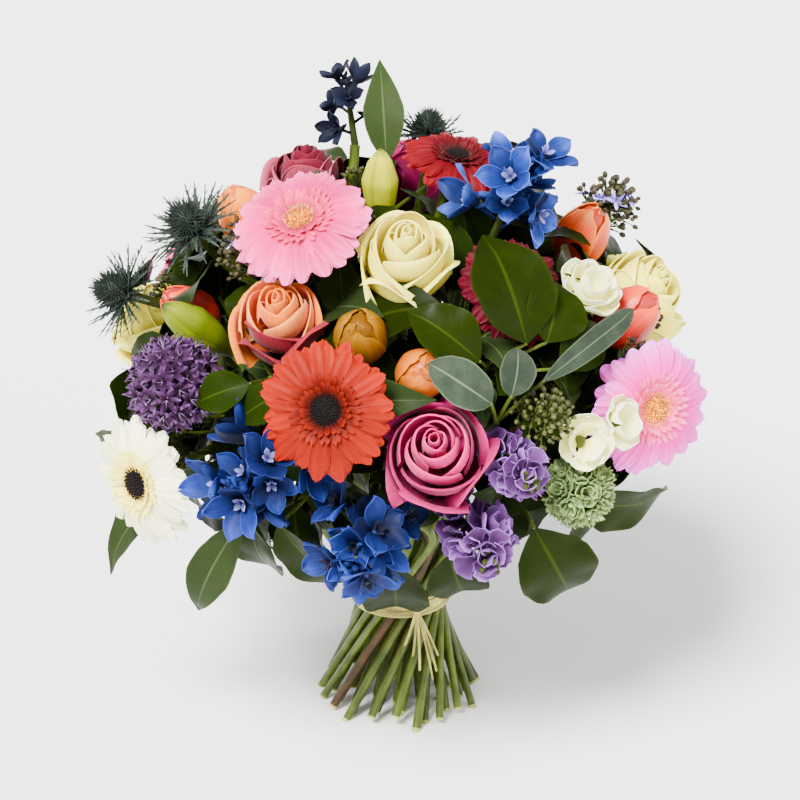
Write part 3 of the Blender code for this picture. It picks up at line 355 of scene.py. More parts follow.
def coated(tree, painted, tone, shades, rough, ior, shine, **more):
    """The end of a material: each petal's own shade, within two bounds, and the shader's values."""
    value = add_node(tree, "MapRange", {0: tone, 3: shades[0], 4: shades[1]}, **SMOOTH)
    shade = add_node(tree, "HueSaturation", {"Value": value, "Color": painted})
    feed(tree, tree.nodes["Principled BSDF"],
         {"Base Color": shade, "Roughness": rough, "IOR": ior, "Specular IOR Level": shine, **more})


def off_middle(tree, across):
    """How far a point is off the middle line of a petal or blade: 0 on it, 1 at the edges."""
    side = add_node(tree, "Math", {0: across, 1: 0.5}, operation="SUBTRACT")
    side = add_node(tree, "Math", {0: side}, operation="ABSOLUTE")
    return add_node(tree, "Math", {0: side, 1: 2.0}, operation="MULTIPLY")


def mixed(first, second, share):
    """The colour that lies that share of the way from the first to the second."""
    return [a + (b - a) * share for a, b in zip(linear(first), linear(second))]


def petal(name, root, body, tip, rim=None, rim_start=0.72, streak=0.25, sheen=0.0, rough=0.55, glow=0.12,
          gloss=0.12, shades=(0.80, 1.12)):
    """The skin of a petal: its colour runs from root to tip, with veins along it and a paler rim. On a petal
    12 mm wide, the 34 streaks across make veins 0.35 mm apart, with a relief of 0.3 mm at most. Light comes
    through it for 1.5 mm, the red of it furthest."""
    tree, place, across, up, tone = started(name)
    ramp = add_node(tree, "ValToRGB", {0: up})
    ramp.color_ramp.interpolation = "EASE"
    marks = ramp.color_ramp.elements
    marks[0].position, marks[0].color = 0.05, (*linear(root), 1.0)
    marks[1].position, marks[1].color = 0.98, (*linear(tip), 1.0)
    marks.new(0.5).color = (*linear(body), 1.0)
    painted = ramp
    if rim:
        edge = add_node(tree, "Math", {0: off_middle(tree, across), 1: up}, operation="MAXIMUM")
        near = add_node(tree, "MapRange", {0: edge, 1: rim_start, 2: 1.0}, **SMOOTH)
        painted = add_node(tree, "Mix", {0: near, 6: painted, 7: rim}, **COLOUR)
    along = add_node(tree, "Mapping", {0: place.outputs["UV"], 3: (34.0, 2.2, 1.0)})
    veins = add_node(tree, "TexNoise", {0: along, "Scale": 1.0, "Detail": 3.0})
    dark = add_node(tree, "MapRange", {0: veins, 1: 0.35, 2: 0.7, 3: 1.0 - streak, 4: 1.0}, **SMOOTH)
    painted = add_node(tree, "Mix", {0: 1.0, 6: painted, 7: dark}, blend_type="MULTIPLY", **COLOUR)
    relief = add_node(tree, "Bump", {"Height": veins, "Strength": 0.25, "Distance": 0.0003})
    coated(tree, painted, tone, shades, rough, 1.42, gloss, Normal=relief, **{
        "Subsurface Weight": glow, "Subsurface Radius": (1.0, 0.5, 0.3), "Subsurface Scale": 0.0015,
        "Sheen Weight": sheen, "Sheen Roughness": 0.4})


def blade(name, body, pale, rib, rough, veins=8.0, bloom=0.0):
    """A leaf's skin: a rib, side veins that slant to the tip, mottling in cells 11 mm wide and an edge that
    is a little paler. A blade 60 mm long has a vein every 4 to 8 mm. A waxy leaf has a wider pale rim."""
    tree, place, across, up, tone = started(name)
    side = off_middle(tree, across)
    mottle = add_node(tree, "TexNoise", {0: place.outputs["Object"], "Scale": 90.0, "Detail": 4.0})
    spread = add_node(tree, "MapRange", {0: mottle, 1: 0.3, 2: 0.75, 4: 0.8}, **SMOOTH)
    painted = add_node(tree, "Mix", {0: spread, 6: body, 7: pale}, **COLOUR)
    along = add_node(tree, "Math", {0: up, 1: veins}, operation="MULTIPLY")
    back = add_node(tree, "Math", {0: side, 1: veins * 0.24}, operation="MULTIPLY")
    slant = add_node(tree, "Math", {0: along, 1: back}, operation="SUBTRACT")
    wave = add_node(tree, "Math", {0: slant, 1: 0.5}, operation="PINGPONG")
    thin = add_node(tree, "MapRange", {0: wave, 1: 0.05, 2: 0.0}, **SMOOTH)
    fine = add_node(tree, "Math", {0: thin, 1: 0.16}, operation="MULTIPLY")
    middle = add_node(tree, "MapRange", {0: side, 1: 0.07, 2: 0.02}, **SMOOTH)
    lines = add_node(tree, "Math", {0: fine, 1: middle}, operation="MAXIMUM")
    painted = add_node(tree, "Mix", {0: lines, 6: painted, 7: rib}, **COLOUR)
    near = add_node(tree, "MapRange", {0: side, 1: 0.90, 2: 1.0, 4: 0.35 + bloom}, **SMOOTH)
    painted = add_node(tree, "Mix", {0: near, 6: painted, 7: rib}, **COLOUR)
    hollow = add_node(tree, "Math", {0: lines, 1: -1.0}, operation="MULTIPLY")
    relief = add_node(tree, "Bump", {"Height": hollow, "Strength": 0.5, "Distance": 0.0004})
    dull = add_node(tree, "MapRange", {0: mottle, 1: 0.3, 2: 0.8, 3: rough - 0.06, 4: rough + 0.10}, **SMOOTH)
    coated(tree, painted, tone, (0.62, 1.3), dull, 1.40, 0.035, Normal=relief, **{
        "Subsurface Weight": 0.03, "Subsurface Scale": 0.001})


def rind(name, body, pale, rough, fibres=(3.0, 60.0), spots=0.0):
    """The skin of a stem, twig or fibre: long streaks, patches 14 mm wide, and specks 1 mm wide on wood."""
    tree, place, *_, tone = started(name)
    along = add_node(tree, "Mapping", {0: place.outputs["UV"], 3: (*fibres, 1.0)})
    streaks = add_node(tree, "TexNoise", {0: along, "Scale": 1.0, "Detail": 4.0})
    patches = add_node(tree, "TexNoise", {0: place.outputs["Object"], "Scale": 70.0, "Detail": 2.0})
    share = add_node(tree, "Math", {0: streaks, 1: patches}, operation="MULTIPLY")
    light = add_node(tree, "MapRange", {0: share, 1: 0.12, 2: 0.40}, **SMOOTH)
    painted = add_node(tree, "Mix", {0: light, 6: body, 7: pale}, **COLOUR)
    if spots:
        specks = add_node(tree, "TexNoise", {0: place.outputs["Object"], "Scale": 900.0})
        strong = add_node(tree, "MapRange", {0: specks, 1: 0.62, 2: 0.72, 4: spots}, **SMOOTH)
        brown = mixed(body, "593f27", 0.6)
        painted = add_node(tree, "Mix", {0: strong, 6: painted, 7: brown}, **COLOUR)
    relief = add_node(tree, "Bump", {"Height": streaks, "Strength": 0.3, "Distance": 0.0003})
    coated(tree, painted, tone, (0.65, 1.3), rough, 1.45, 0.3, Normal=relief)


def grain(name, body, dark, rough, size=900.0):
    """Close-set small bodies, such as buds, anthers and spines, each with its own shade. The patches are
    1.1 mm wide at a size of 900 to the metre and 2 mm at 500."""
    tree, place, *_, tone = started(name)
    cells = add_node(tree, "TexNoise", {0: place.outputs["Object"], "Scale": size, "Detail": 2.0})
    light = add_node(tree, "MapRange", {0: cells, 1: 0.3, 2: 0.65}, **SMOOTH)
    painted = add_node(tree, "Mix", {0: light, 6: dark, 7: body}, **COLOUR)
    coated(tree, painted, tone, (0.55, 1.45), rough, 1.45, 0.25)


def gerbera_petals(c):
    """Matte, papery rays, deep at the root, and the disc florets and the ring of anthers round them."""
    # Orange, pink, red, crimson, blush and white gerberas: outer rays with a paler rim, then inner ones. The
    # red ones are velvety, so that light catches their nap, and the white ones let less light through.
    petal("ray_orange", "490500", c.orange, "971600", "a31d00", 0.9)
    petal("inner_orange", "2a0200", "550900", "841600", streak=0.35)
    petal("ray_pink", "be0046", c.pink, "ff4e97", "ff69b4", 0.86)
    petal("inner_pink", "91023a", "cf1555", "ff3776", streak=0.3)
    petal("ray_red", "320005", c.red, "76000d", "7f0313", 0.92, sheen=0.05)
    petal("inner_red", "200104", "3e0108", "58000b", sheen=0.05)
    petal("ray_crimson", "220009", c.crimson, "510015", "5a041a", 0.92, sheen=0.05)
    petal("inner_crimson", "190105", "2a000a", "3c0010", sheen=0.05)
    petal("ray_blush", "cd1e5f", c.blush, "ff62d3", "ff7cf6", 0.86)
    petal("inner_blush", "cb1d56", "f23771", "ff63a2", streak=0.22)
    petal("ray_white", "ffe464", c.white, "fffed3", streak=0.10, glow=0.06)
    petal("inner_white", "b2943f", "ffee71", "fff971", streak=0.15, glow=0.06)
    # Disc florets packed tightly, dull and almost black, or yellow, and the pollen-dusted anthers.
    grain("disc_black", "0e0302", "040100", 0.8, 700.0)
    grain("disc_yellow", "ff9d00", "985600", 0.6, 700.0)
    grain("anthers_cream", "ffc844", "8e6623", 0.6)
    grain("anthers_red", "511201", "210401", 0.6)


def rose_petals(c):
    """Velvety rose petals: the light catches their nap, and the rolled rims are paler."""
    # Cream petals are thin and let the most light through, so they glow where they overlap.
    petal("rose_cream", "ffe151", c.cream, "fff764", "fff980", 0.86, 0.08, sheen=0.05, glow=0.2)
    # Hot pink, whose outer petals are deeper.
    petal("rose_hot_pink", "880947", c.rose_pink, "df2074", "ec3180", 0.9, 0.15, sheen=0.12)
    petal("rose_hot_pink_outer", "570830", "8d0047", "a00f55", "b41b63", 0.9, 0.16, sheen=0.12)
    # Peach with the most nap, paler outside, and flushed red on the side that the sun reached.
    petal("rose_peach", "ca3900", c.peach, "ff7d07", "ff8b18", 0.88, 0.16, sheen=0.2)
    petal("rose_peach_outer", "a34320", "ff823a", "ff9747", "ffa854", 0.88, 0.14, sheen=0.2)
    petal("rose_red_outer", "460711", "7c0820", "8a1629", "96222f", 0.9, 0.2, sheen=0.12)
    # Raspberry, with dusty pink outer petals.
    petal("rose_raspberry", "2f0412", c.raspberry, "79172e", "89263c", 0.88, 0.2, sheen=0.12)
    petal("rose_blush_top", "5a1829", "852a3f", "9b3b51", "b84e65", 0.88, 0.16, sheen=0.12)


def satin_petals(c):
    """Satin petals of tulips, lisianthus and lily buds: smooth and a little glossy."""
    # Three tulips with a wax film that gives them a clear highlight, and two with less of it.
    petal("tulip_apricot", "7f3500", c.apricot, "d86c00", "eb7b00", 0.78, rough=0.36, gloss=0.4)
    petal("tulip_orange", "761e00", "c72e00", "f65900", "ff8003", 0.76, rough=0.36, gloss=0.4)
    petal("tulip_salmon", "6e150e", c.salmon, "da371d", "ff4b00", 0.76, rough=0.36, gloss=0.4)
    petal("tulip_peach", "8a3700", "f26000", "ff8301", "ff9205", 0.8, rough=0.4)
    petal("tulip_gold", "3e2700", c.gold, "895900", "9b6900", 0.84, rough=0.42)
    # Thin white petals, and the tight skins of lily buds, one riper than the other.
    petal("cup_white", "ffe676", "fffca9", "fffebf", "ffffdf", 0.84, 0.12, rough=0.45)
    petal("lily_skin", "616d00", c.lime, "bdb800", "7d8500", 0.9, 0.2, rough=0.36)
    petal("lily_skin_green", "323d0e", "5d6b03", "778200", "3e4a0d", 0.9, 0.2, rough=0.36)


def floret_petals(c):
    """Small thin petals in blue, violet, mauve and pale green, with darker veins."""
    # Delphinium sepals: the florets of one spire differ widely in shade, from ink to sky.
    petal("sepal_blue", "0f193d", c.blue, "3951a7", "3f57b1", 0.92, 0.4, shades=(0.35, 1.75))
    petal("sepal_navy", "070f2b", "0f1d51", "1f3179", "243985", 0.94, 0.4, shades=(0.35, 1.9))
    petal("sepal_midnight", "070913", c.midnight, "1c1f2f", "222434", 0.9, 0.3, shades=(0.5, 1.4))
    # The pale eye of a delphinium, and waxflower petals.
    petal("bee_pale", "2b2e57", "5b5b95", "8f8fcb", streak=0.2)
    petal("petal_lilac", "675da4", "a291ff", "c9baff", streak=0.15)
    # Allium stars, stock and snowball florets: matte, and shaded from one to the next.
    petal("star_violet", "200b1f", c.violet, "553360", "674272", 0.88, 0.25, shades=(0.55, 1.35))
    petal("floret_mauve", "24122d", c.mauve, "7f509c", "8f60ae", 0.88, 0.3, shades=(0.55, 1.55))
    petal("floret_jade", "2e391f", c.jade, "839a60", "8da666", 0.88, 0.25, shades=(0.6, 1.3))
    grain("stamens_dark", "1b101a", "0b040a", 0.6)
    grain("stamens_pale", "9a7dac", "504059", 0.6)


def green_skins(c):
    """Glossy, satin and waxy leaves, needle-fine bracts, buds, stems and dry raffia."""
    # Leather-like salal and laurel with a soft gloss, satin ruscus, and eucalyptus with a dull grey wax.
    blade("salal_skin", c.salal, mixed(c.salal, "1d2701", 0.5), "263305", 0.36, 7.0)
    blade("laurel_skin", c.laurel, mixed(c.laurel, "1e2b01", 0.5), "29380a", 0.38, 9.0)
    blade("ruscus_skin", c.ruscus, mixed(c.ruscus, "2d381b", 0.4), "3d4a2b", 0.45, 16.0)
    blade("eucalyptus_skin", c.eucalyptus, mixed(c.eucalyptus, "3e4838", 0.5), "515b48", 0.55, 11.0, 0.35)
    # Thistle: dull blue-green spines and leathery bracts. Buds: matte and speckled. Calyx: downy green.
    grain("thistle_spines", c.thistle, "161b16", 0.6, 500.0)
    petal("thistle_bracts", "181d18", "2a332c", "424d42", "3c4841", 0.85, 0.3, rough=0.5, glow=0.0,
          shades=(0.6, 1.4))
    grain("buds_wax", c.wax, "1f1a05", 0.5, 500.0)
    grain("buds_moss", c.moss, "24270c", 0.5, 500.0)
    petal("calyx_green", "2d3611", "374116", "4c5522", streak=0.2, glow=0.02)
    # Smooth sappy stem, rough woody stem, the pale wet pith of a cut end, and dry raffia with long fibres.
    rind("stem_skin", mixed(c.stem, "1d2408", 0.35), mixed(c.stem, "677422", 0.5), 0.42)
    rind("stem_woody", "2b1c0a", "462f11", 0.6, spots=0.6)
    rind("stem_cut", "767b39", "c3c368", 0.7, (30.0, 30.0))
    rind("raffia_fibre", mixed(c.raffia, "4b411f", 0.4), mixed(c.raffia, "fffa83", 0.5), 0.65, (14.0, 5.0))


# Shapes in arrays: petals and blades are bent from one flat grid, and small bodies are copies of a primitive.

LATTICES, STAMPS = {}, {}


def read_out(name, keep):
    """The points and faces of the new primitive, kept under a name, and the primitive taken away."""
    made = bpy.context.object
    points = np.array([vert.co[:] for vert in made.data.vertices])
    faces = np.array([face.vertices[:] for face in made.data.polygons])
    data = made.data
    bpy.data.objects.remove(made, do_unlink=True)
    bpy.data.meshes.remove(data)
    keep[name] = (points, faces)


def lattice(columns, rows):
    """The flat grid that petals and blades of that fineness are bent from: across and up of each point."""
    key = (columns, rows)
    if key not in LATTICES:
        bpy.ops.mesh.primitive_grid_add(x_subdivisions=columns, y_subdivisions=rows, size=2.0)
        read_out(key, LATTICES)
    points, faces = LATTICES[key]
    return points[:, 0], (points[:, 1] + 1.0) / 2.0, faces


def stamp_of(name):
    """A small closed shape one unit in size: a bead, a finer bud, or a needle that points along +Z."""
    if name not in STAMPS:
        if name == "needle":
            bpy.ops.mesh.primitive_cone_add(vertices=4, radius1=1.0, radius2=0.0, depth=1.0,
                                            end_fill_type="TRIFAN")
        else:
            bpy.ops.mesh.primitive_ico_sphere_add(subdivisions=1 if name == "bead" else 2, radius=1.0)
        read_out(name, STAMPS)
        if name == "needle":
            STAMPS[name][0][:, 2] += 0.5
    return STAMPS[name]


def smooth_step(values, low, high):
    """0 below the low value and 1 above the high one, with a smooth rise between them."""
    share = np.clip((values - low) / (high - low), 0.0, 1.0)
    return share * share * (3.0 - 2.0 * share)


def round_axis(radius, angle, height):
    """Points round the axis, from their distances, their angles and their heights."""
    return np.stack((radius * np.cos(angle), radius * np.sin(angle), height + 0.0 * radius), 1)


def turned(out, side, height, turn):
    """Points that lie out along a turn and off to one side of it, at those heights."""
    return np.stack((out * math.cos(turn) - side * math.sin(turn),
                     out * math.sin(turn) + side * math.cos(turn), height), 1)


def above(height):
    """The point that far above the origin."""
    return Vector((0.0, 0.0, height))


def spoke(turn, out=1.0, height=0.0):
    """The point that far out along a turn, and that high."""
    return Vector((out * math.cos(turn), out * math.sin(turn), height))


def facing(origin, axis):
    """The matrix that puts a piece modelled round +Z at origin, with +Z along axis and its -Y side low."""
    side = above(1.0).cross(axis)
    side = side.normalized() if side.length > 1e-6 else Vector((1.0, 0.0, 0.0))
    return Matrix.Translation(origin) @ Matrix((side, axis.cross(side), axis)).transposed().to_4x4()


def placed(points, matrix):
    """The points as the matrix moves them."""
    matrix = np.array(matrix)
    return points @ matrix[:3, :3].T + matrix[:3, 3]


class Cluster:
    """All that one piece is made of: thin sheets that get a thickness, and closed bodies."""

    def __init__(self, name, slot, nodes=(), place=None, thickness=None):
        self.name, self.slot, self.nodes = name, slot, nodes
        self.place = place or Matrix()
        self.thickness = thickness or sizes().petal
        self.sheets, self.bodies, self.finishes = [], [], []

    def keep(self, parts, points, faces, flat, finish, tone):
        """Adds one sheet or body: its mesh, its map, the number of its finish and its tone."""
        if finish not in self.finishes:
            self.finishes.append(finish)
        parts.append((points, faces, flat, self.finishes.index(finish), tone))

    def sheet(self, grid, shape, finish, tone=0.5, place=None):
        """A petal or blade, bent from the flat grid by shape(across, up)."""
        across, up, faces = lattice(*grid)
        points = shape(across, up)
        if place is not None:
            points = placed(points, place)
        flat = np.stack(((across + 1.0) / 2.0, up), 1)
        self.keep(self.sheets, points, faces, flat, finish, tone)

    def stamp(self, name, origin, way, size, finish, tone=0.5):
        """A copy of a small closed shape at origin, drawn out to size, with its +Z along way."""
        points, faces = stamp_of(name)
        way = Vector(way).normalized()
        points = placed(points * np.array(size), facing(Vector(origin), way))
        flat = np.tile((0.5, 0.5), (len(points), 1))
        self.keep(self.bodies, points, faces, flat, finish, tone)

    def tube(self, course, radii, finish, sides=6, tone=0.5, level=False):
        """A round stick along a course, closed at both ends; level cuts its first end flat at its height."""
        course = np.array([list(point) for point in course])
        count = len(course)
        radii = np.broadcast_to(np.array(radii, dtype=float), (count,))
        ways = np.gradient(course, axis=0)
        ways /= np.linalg.norm(ways, axis=1, keepdims=True)
        side = np.cross(ways[0], (0.31, 0.95, 0.05))
        around = np.arange(sides) * CIRCLE / sides
        rings = []
        for middle, way, radius in zip(course, ways, radii):
            side = side - way * side.dot(way)
            side /= np.linalg.norm(side)
            other = np.cross(way, side)
            ring = np.outer(np.cos(around), side) + np.outer(np.sin(around), other)
            rings.append(middle + radius * ring)
        if level:
            rings[0] -= ways[0] * ((rings[0][:, 2] - course[0, 2]) / ways[0, 2])[:, None]
        points = np.concatenate(rings + [course[:1], course[-1:]])
        ring_at = np.arange(count - 1)[:, None] * sides
        here = np.arange(sides)[None, :]
        after = (here + 1) % sides
        first, second = ring_at + here, ring_at + after
        sheath = np.stack((first, second, second + sides, first, second + sides, first + sides), 2)
        sheath = sheath.reshape(-1, 3)
        low, high = count * sides, count * sides + 1
        last = (count - 1) * sides
        caps = [(low, (k + 1) % sides, k) for k in range(sides)]
        caps += [(high, last + k, last + (k + 1) % sides) for k in range(sides)]
        faces = np.concatenate((sheath, np.array(caps)))
        swing = 1.0 - np.abs(1.0 - 2.0 * np.arange(sides) / sides)
        flat = np.stack((np.tile(swing, count), np.repeat(np.linspace(0.0, 1.0, count), sides)), 1)
        flat = np.concatenate((flat, ((0.5, 0.0), (0.5, 1.0))))
        self.keep(self.bodies, points, faces, flat, finish, tone)

    def stalk(self, heights, radii, sides=8):
        """A green stick up the middle of a bloom."""
        self.tube([(0, 0, height) for height in heights], radii, "calyx_green", sides)

    def mesh_object(self, parts):
        """One object from the gathered parts, with their map, shade and finish."""
        data = bpy.data.meshes.new(self.name)
        starts = np.cumsum([0] + [len(part[0]) for part in parts[:-1]])
        points = np.concatenate([part[0] for part in parts])
        faces = [row for start, part in zip(starts, parts) for row in (part[1] + start).tolist()]
        data.from_pydata(points.tolist(), [], faces)
        corners = np.empty(len(data.loops), dtype=np.int32)
        data.loops.foreach_get("vertex_index", corners)
        flat = np.concatenate([part[2] for part in parts])
        data.uv_layers.new(name="petal_map").data.foreach_set("uv", flat[corners].ravel())
        tone = np.concatenate([np.full(len(part[0]), part[4]) for part in parts])
        data.attributes.new("tone", "FLOAT", "POINT").data.foreach_set("value", tone)
        numbers = np.concatenate([np.full(len(part[1]), part[3]) for part in parts])
        data.polygons.foreach_set("material_index", numbers.astype(np.int32))
        for finish in self.finishes:
            data.materials.append(bpy.data.materials[finish])
        made = bpy.data.objects.new(self.name, data)
        bpy.context.scene.collection.objects.link(made)
        return made

    def finished(self):
        """The piece as one mesh in its place: sheets get their thickness and everything is joined."""
        bpy.ops.object.select_all(action="DESELECT")
        made = []
        if self.sheets:
            thin = self.mesh_object(self.sheets)
            bpy.context.view_layer.objects.active = thin
            shell = thin.modifiers.new("thickness", "SOLIDIFY")
            shell.thickness, shell.offset = self.thickness, 0.0
            bpy.ops.object.modifier_apply(modifier=shell.name)
            made.append(thin)
        if self.bodies:
            made.append(self.mesh_object(self.bodies))
        for part in made:
            part.select_set(True)
        whole = bpy.context.view_layer.objects.active = made[0]
        if made[1:]:
            bpy.ops.object.join()
        bpy.ops.object.shade_smooth_by_angle(angle=math.radians(50.0))
        whole.data.transform(Matrix.Translation(TIE_PLACE) @ self.place)
        whole.name = whole.data.name = self.name
        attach(whole, "root")
        if self.nodes:
            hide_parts(*self.nodes)
        whole.select_set(False)
        return whole


# Places of blooms, branches and stems.


def along(turn, rise):
    """The unit vector with that turn and rise, in degrees."""
    t, r = math.radians(turn), math.radians(rise)
    return Vector((math.sin(t) * math.cos(r), -math.cos(t) * math.cos(r), math.sin(r)))


def on_dome(turn, fall, lift):
    """A point that far outside the dome, and the dome's normal there."""
    t, f = math.radians(turn), math.radians(fall)
    flat = Vector((math.sin(t), -math.cos(t), 0.0)) * math.sin(f)
    up = above(math.cos(f))
    normal = (flat / DOME_RADIUS + up / DOME_HALF_HEIGHT).normalized()
    point = flat * DOME_RADIUS + up * DOME_HALF_HEIGHT + above(DOME_CENTRE)
    return point + normal * lift, normal


def bloom_place(row):
    """The middle of a bloom's face, the way it faces and the foot that its stem carries."""
    _, kind, _, turn, fall, lift, face_turn, face_rise, width = row
    face, _ = on_dome(turn, fall, lift)
    axis = along(face_turn, face_rise)
    return face, axis, face - axis * width * DEPTHS[kind]


def branch_place(row):
    """The upper end of a branch's twig, its way there and the foot that its stem carries."""
    _, _, turn, fall, lift, way_turn, way_rise, long, _ = row
    end, _ = on_dome(turn, fall, lift)
    axis = along(way_turn, way_rise)
    return end, axis, end - axis * long


def tie_slots(ends):
    """For each bloom or branch, from its turn and fall: its ring at the tie and its turn there. Those
    near the top of the dome stand in the middle, and each ring keeps the order of the blooms round it."""
    counts = [1]
    for ring in range(1, len(RING_LEANS)):
        counts.append(int(CIRCLE * ring * math.cos(math.radians(RING_LEANS[ring]))))
    order = sorted(ends, key=lambda name: ends[name][1])
    slots = {}
    for ring, count in enumerate(counts):
        members = order[:count] if ring < len(counts) - 1 else order
        order = order[len(members):]
        members.sort(key=lambda name: ends[name][0])
        step = 360.0 / max(len(members), 1)
        shift = sum((ends[name][0] - index * step + 540.0) % 360.0 - 180.0
                    for index, name in enumerate(members)) / max(len(members), 1)
        for index, name in enumerate(members):
            slots[name] = (ring, index * step + shift)
    return slots


def stem_course(ring, turn, foot, axis, cut):
    """The corners of a stem: its cut end, the tie, the top of its straight run, its neck and its foot."""
    lean = math.radians(RING_LEANS[ring])
    angle = math.radians(turn - (RING_TWIST if ring else 0.0))
    out = Vector((math.sin(angle), -math.cos(angle), 0.0))
    side = Vector((math.cos(angle), math.sin(angle), 0.0))
    way = side * math.sin(lean) + above(math.cos(lean))
    tie = out * ring * STEM_PITCH + above(TIE_HEIGHT)
    end = tie - way * (TIE_HEIGHT - cut) / way.z
    neck = foot - axis * min(0.45 * (foot - tie).length, 0.05)
    return [end, tie, tie + way * STEM_RISE, neck, foot]


def nearest(a, b, c, d):
    """The shares along straight pieces a-b and c-d at which they come nearest, for rows of pieces."""
    u, v, w = b - a, d - c, a - c
    uu, uv, vv = (u * u).sum(1), (u * v).sum(1), (v * v).sum(1)
    uw, vw = (u * w).sum(1), (v * w).sum(1)
    s = np.clip((uv * vw - vv * uw) / np.maximum(uu * vv - uv * uv, 1e-12), 0.0, 1.0)
    t = np.clip((uv * s + vw) / vv, 0.0, 1.0)
    return np.clip((uv * t - uw) / uu, 0.0, 1.0), t


LOOSE_BLOOMS = ("delphinium", "stock", "snowball", "berries", "waxflower")


def ball_rows(bodies, loose=1.0):
    """The middle and radius of each ball that fills a bloom or leaf. Balls of loose blooms can be smaller."""
    return np.array([[*middle, radius * (loose if owner.startswith(LOOSE_BLOOMS) else 1.0)]
                     for owner in bodies for middle, radius in bodies[owner]])


def spread_stems(courses, bodies):
    """Bends the stems above the tie until no two touch and none runs through a bloom or a leaf."""
    names = list(courses)
    points = np.array([[list(point) for point in courses[name]] for name in names])
    homes = points.copy()
    stem = np.repeat(np.arange(len(names)), 3)
    low = np.tile(np.arange(1, 4), len(names))
    first, second = np.triu_indices(len(stem), 1)
    apart = stem[first] != stem[second]
    first, second = first[apart], second[apart]
    balls = ball_rows(bodies)
    owners = np.array([names.index(owner) for owner in bodies for _ in bodies[owner]])
    free = np.array((0.0, 0.0, 1.0, 1.0, 0.0))
    for _ in range(PUSHES):
        a, b = points[stem, low], points[stem, low + 1]
        shift, hits = np.zeros_like(points), np.zeros(points.shape[:2])

        def push(piece, share, way, amount):
            ends = np.stack(((1.0 - share) * free[low[piece]], share * free[low[piece] + 1]))
            gain = ends / np.maximum((ends * ends).sum(0), 0.05)
            for end in (0, 1):
                np.add.at(shift, (stem[piece], low[piece] + end), way * (gain[end] * amount)[:, None])
                np.add.at(hits, (stem[piece], low[piece] + end), 1.0)

        s, t = nearest(a[first], b[first], a[second], b[second])
        gap = a[first] + (b - a)[first] * s[:, None] - a[second] - (b - a)[second] * t[:, None]
        far = np.linalg.norm(gap, axis=1)
        near = np.nonzero(far < 2.0 * STEM_RADIUS + STEM_ROOM)[0]
        way = gap[near] / np.maximum(far[near], 1e-6)[:, None]
        lack = (2.0 * STEM_RADIUS + STEM_ROOM - far[near]) * 0.6
        push(first[near], s[near], way, lack)
        push(second[near], t[near], way, -lack)

        side = (b - a)[:, None, :]
        share = ((balls[None, :, :3] - a[:, None, :]) * side).sum(2) / (side * side).sum(2)
        share = np.clip(share, 0.0, 1.0)
        gap = a[:, None, :] + side * share[:, :, None] - balls[None, :, :3]
        far = np.linalg.norm(gap, axis=2)
        reach = balls[None, :, 3] + STEM_RADIUS + STEM_ROOM
        piece, ball = np.nonzero((far < reach) & (owners[None, :] != stem[:, None]))
        way = gap[piece, ball] / np.maximum(far[piece, ball], 1e-6)[:, None]
        push(piece, share[piece, ball], way, (reach[0, ball] - far[piece, ball]) * 0.8)

        points += shift / np.maximum(hits, 1.0)[:, :, None]
        stray = points - homes
        long = np.linalg.norm(stray, axis=2, keepdims=True)
        points = homes + stray * np.minimum(1.0, STRAY / np.maximum(long, 1e-9))
        if not len(near) and not len(piece):
            break
    return {name: [Vector(point) for point in row] for name, row in zip(names, points)}


def filling(row):
    """Balls that fill a bloom, for the stems to pass."""
    face, axis, _ = bloom_place(row)
    place, width, balls = facing(face, axis), row[8], []
    for back, ring, count, radius in FILLS[row[1]]:
        for ball in range(count):
            turn = CIRCLE * ball / count
            balls.append((place @ (spoke(turn, ring, -back) * width), radius * width))
    return balls


def leaf_filling(row):
    """Balls along the leaves and twig of a branch, for the stems to pass."""
    end, _, foot = branch_place(row)
    balls = [(foot.lerp(end, share), TWIG_RADIUS * 1.2) for share in (0.25, 0.5, 0.75, 1.0)]
    for turn_a, fall_a, lift_a, turn_b, fall_b, lift_b, width in row[-1]:
        knee, out_a = on_dome(turn_a, fall_a, lift_a)
        tip, out_b = on_dome(turn_b, fall_b, lift_b)
        side = (tip - knee).cross(out_a + out_b).normalized()
        bow = (out_a + out_b).normalized() * (tip - knee).length
        for share, wide, rise in LEAF_FILLS:
            for across in (-1, 0, 1):
                middle = knee.lerp(tip, share) + side * across * wide * width + bow * rise
                balls.append((middle, 0.004))
        balls += [(end.lerp(knee, share), PETIOLE * 1.4) for share in (0.25, 0.5, 0.75)]
    return balls


def cut_height(ring, index):
    """How far above the surface a stem is cut: the steep ones and every third outer one reach it."""
    if ring < 3 or index % 3 == 0:
        return 0.0
    lean = math.radians(RING_LEANS[ring])
    slant = STEM_RADIUS * math.sin(lean)
    return max(slant, TIE_HEIGHT - CUT_LENGTH * math.cos(lean)) + 0.0015 * (index % 5)


def stem_courses():
    """The course of each stem, which of them stand side by side at the tie, and where blooms are."""
    places = {row[0]: bloom_place(row) for row in BLOOMS}
    places.update({row[0]: branch_place(row) for row in BRANCHES})
    ends = {row[0]: (row[3], row[4]) for row in BLOOMS}
    ends.update({row[0]: (row[2], row[3]) for row in BRANCHES})
    slots = tie_slots(ends)
    courses, groups = {}, {}
    for index, name in enumerate(sorted(slots, key=slots.get)):
        _, axis, foot = places[name]
        ring, turn = slots[name]
        courses[name] = stem_course(ring, turn, foot, axis, cut_height(ring, index))
        sector = int((turn - RING_TWIST) % 360.0 * BUNDLES / 360.0) if ring else 0
        groups.setdefault(sector, []).append(name)
    bodies = {row[0]: filling(row) for row in BLOOMS}
    bodies.update({row[0]: leaf_filling(row) for row in BRANCHES})
    return spread_stems(courses, bodies), groups, bodies


# Blooms. Each maker fills a cluster that stands in the bloom's place, from its own random draws.

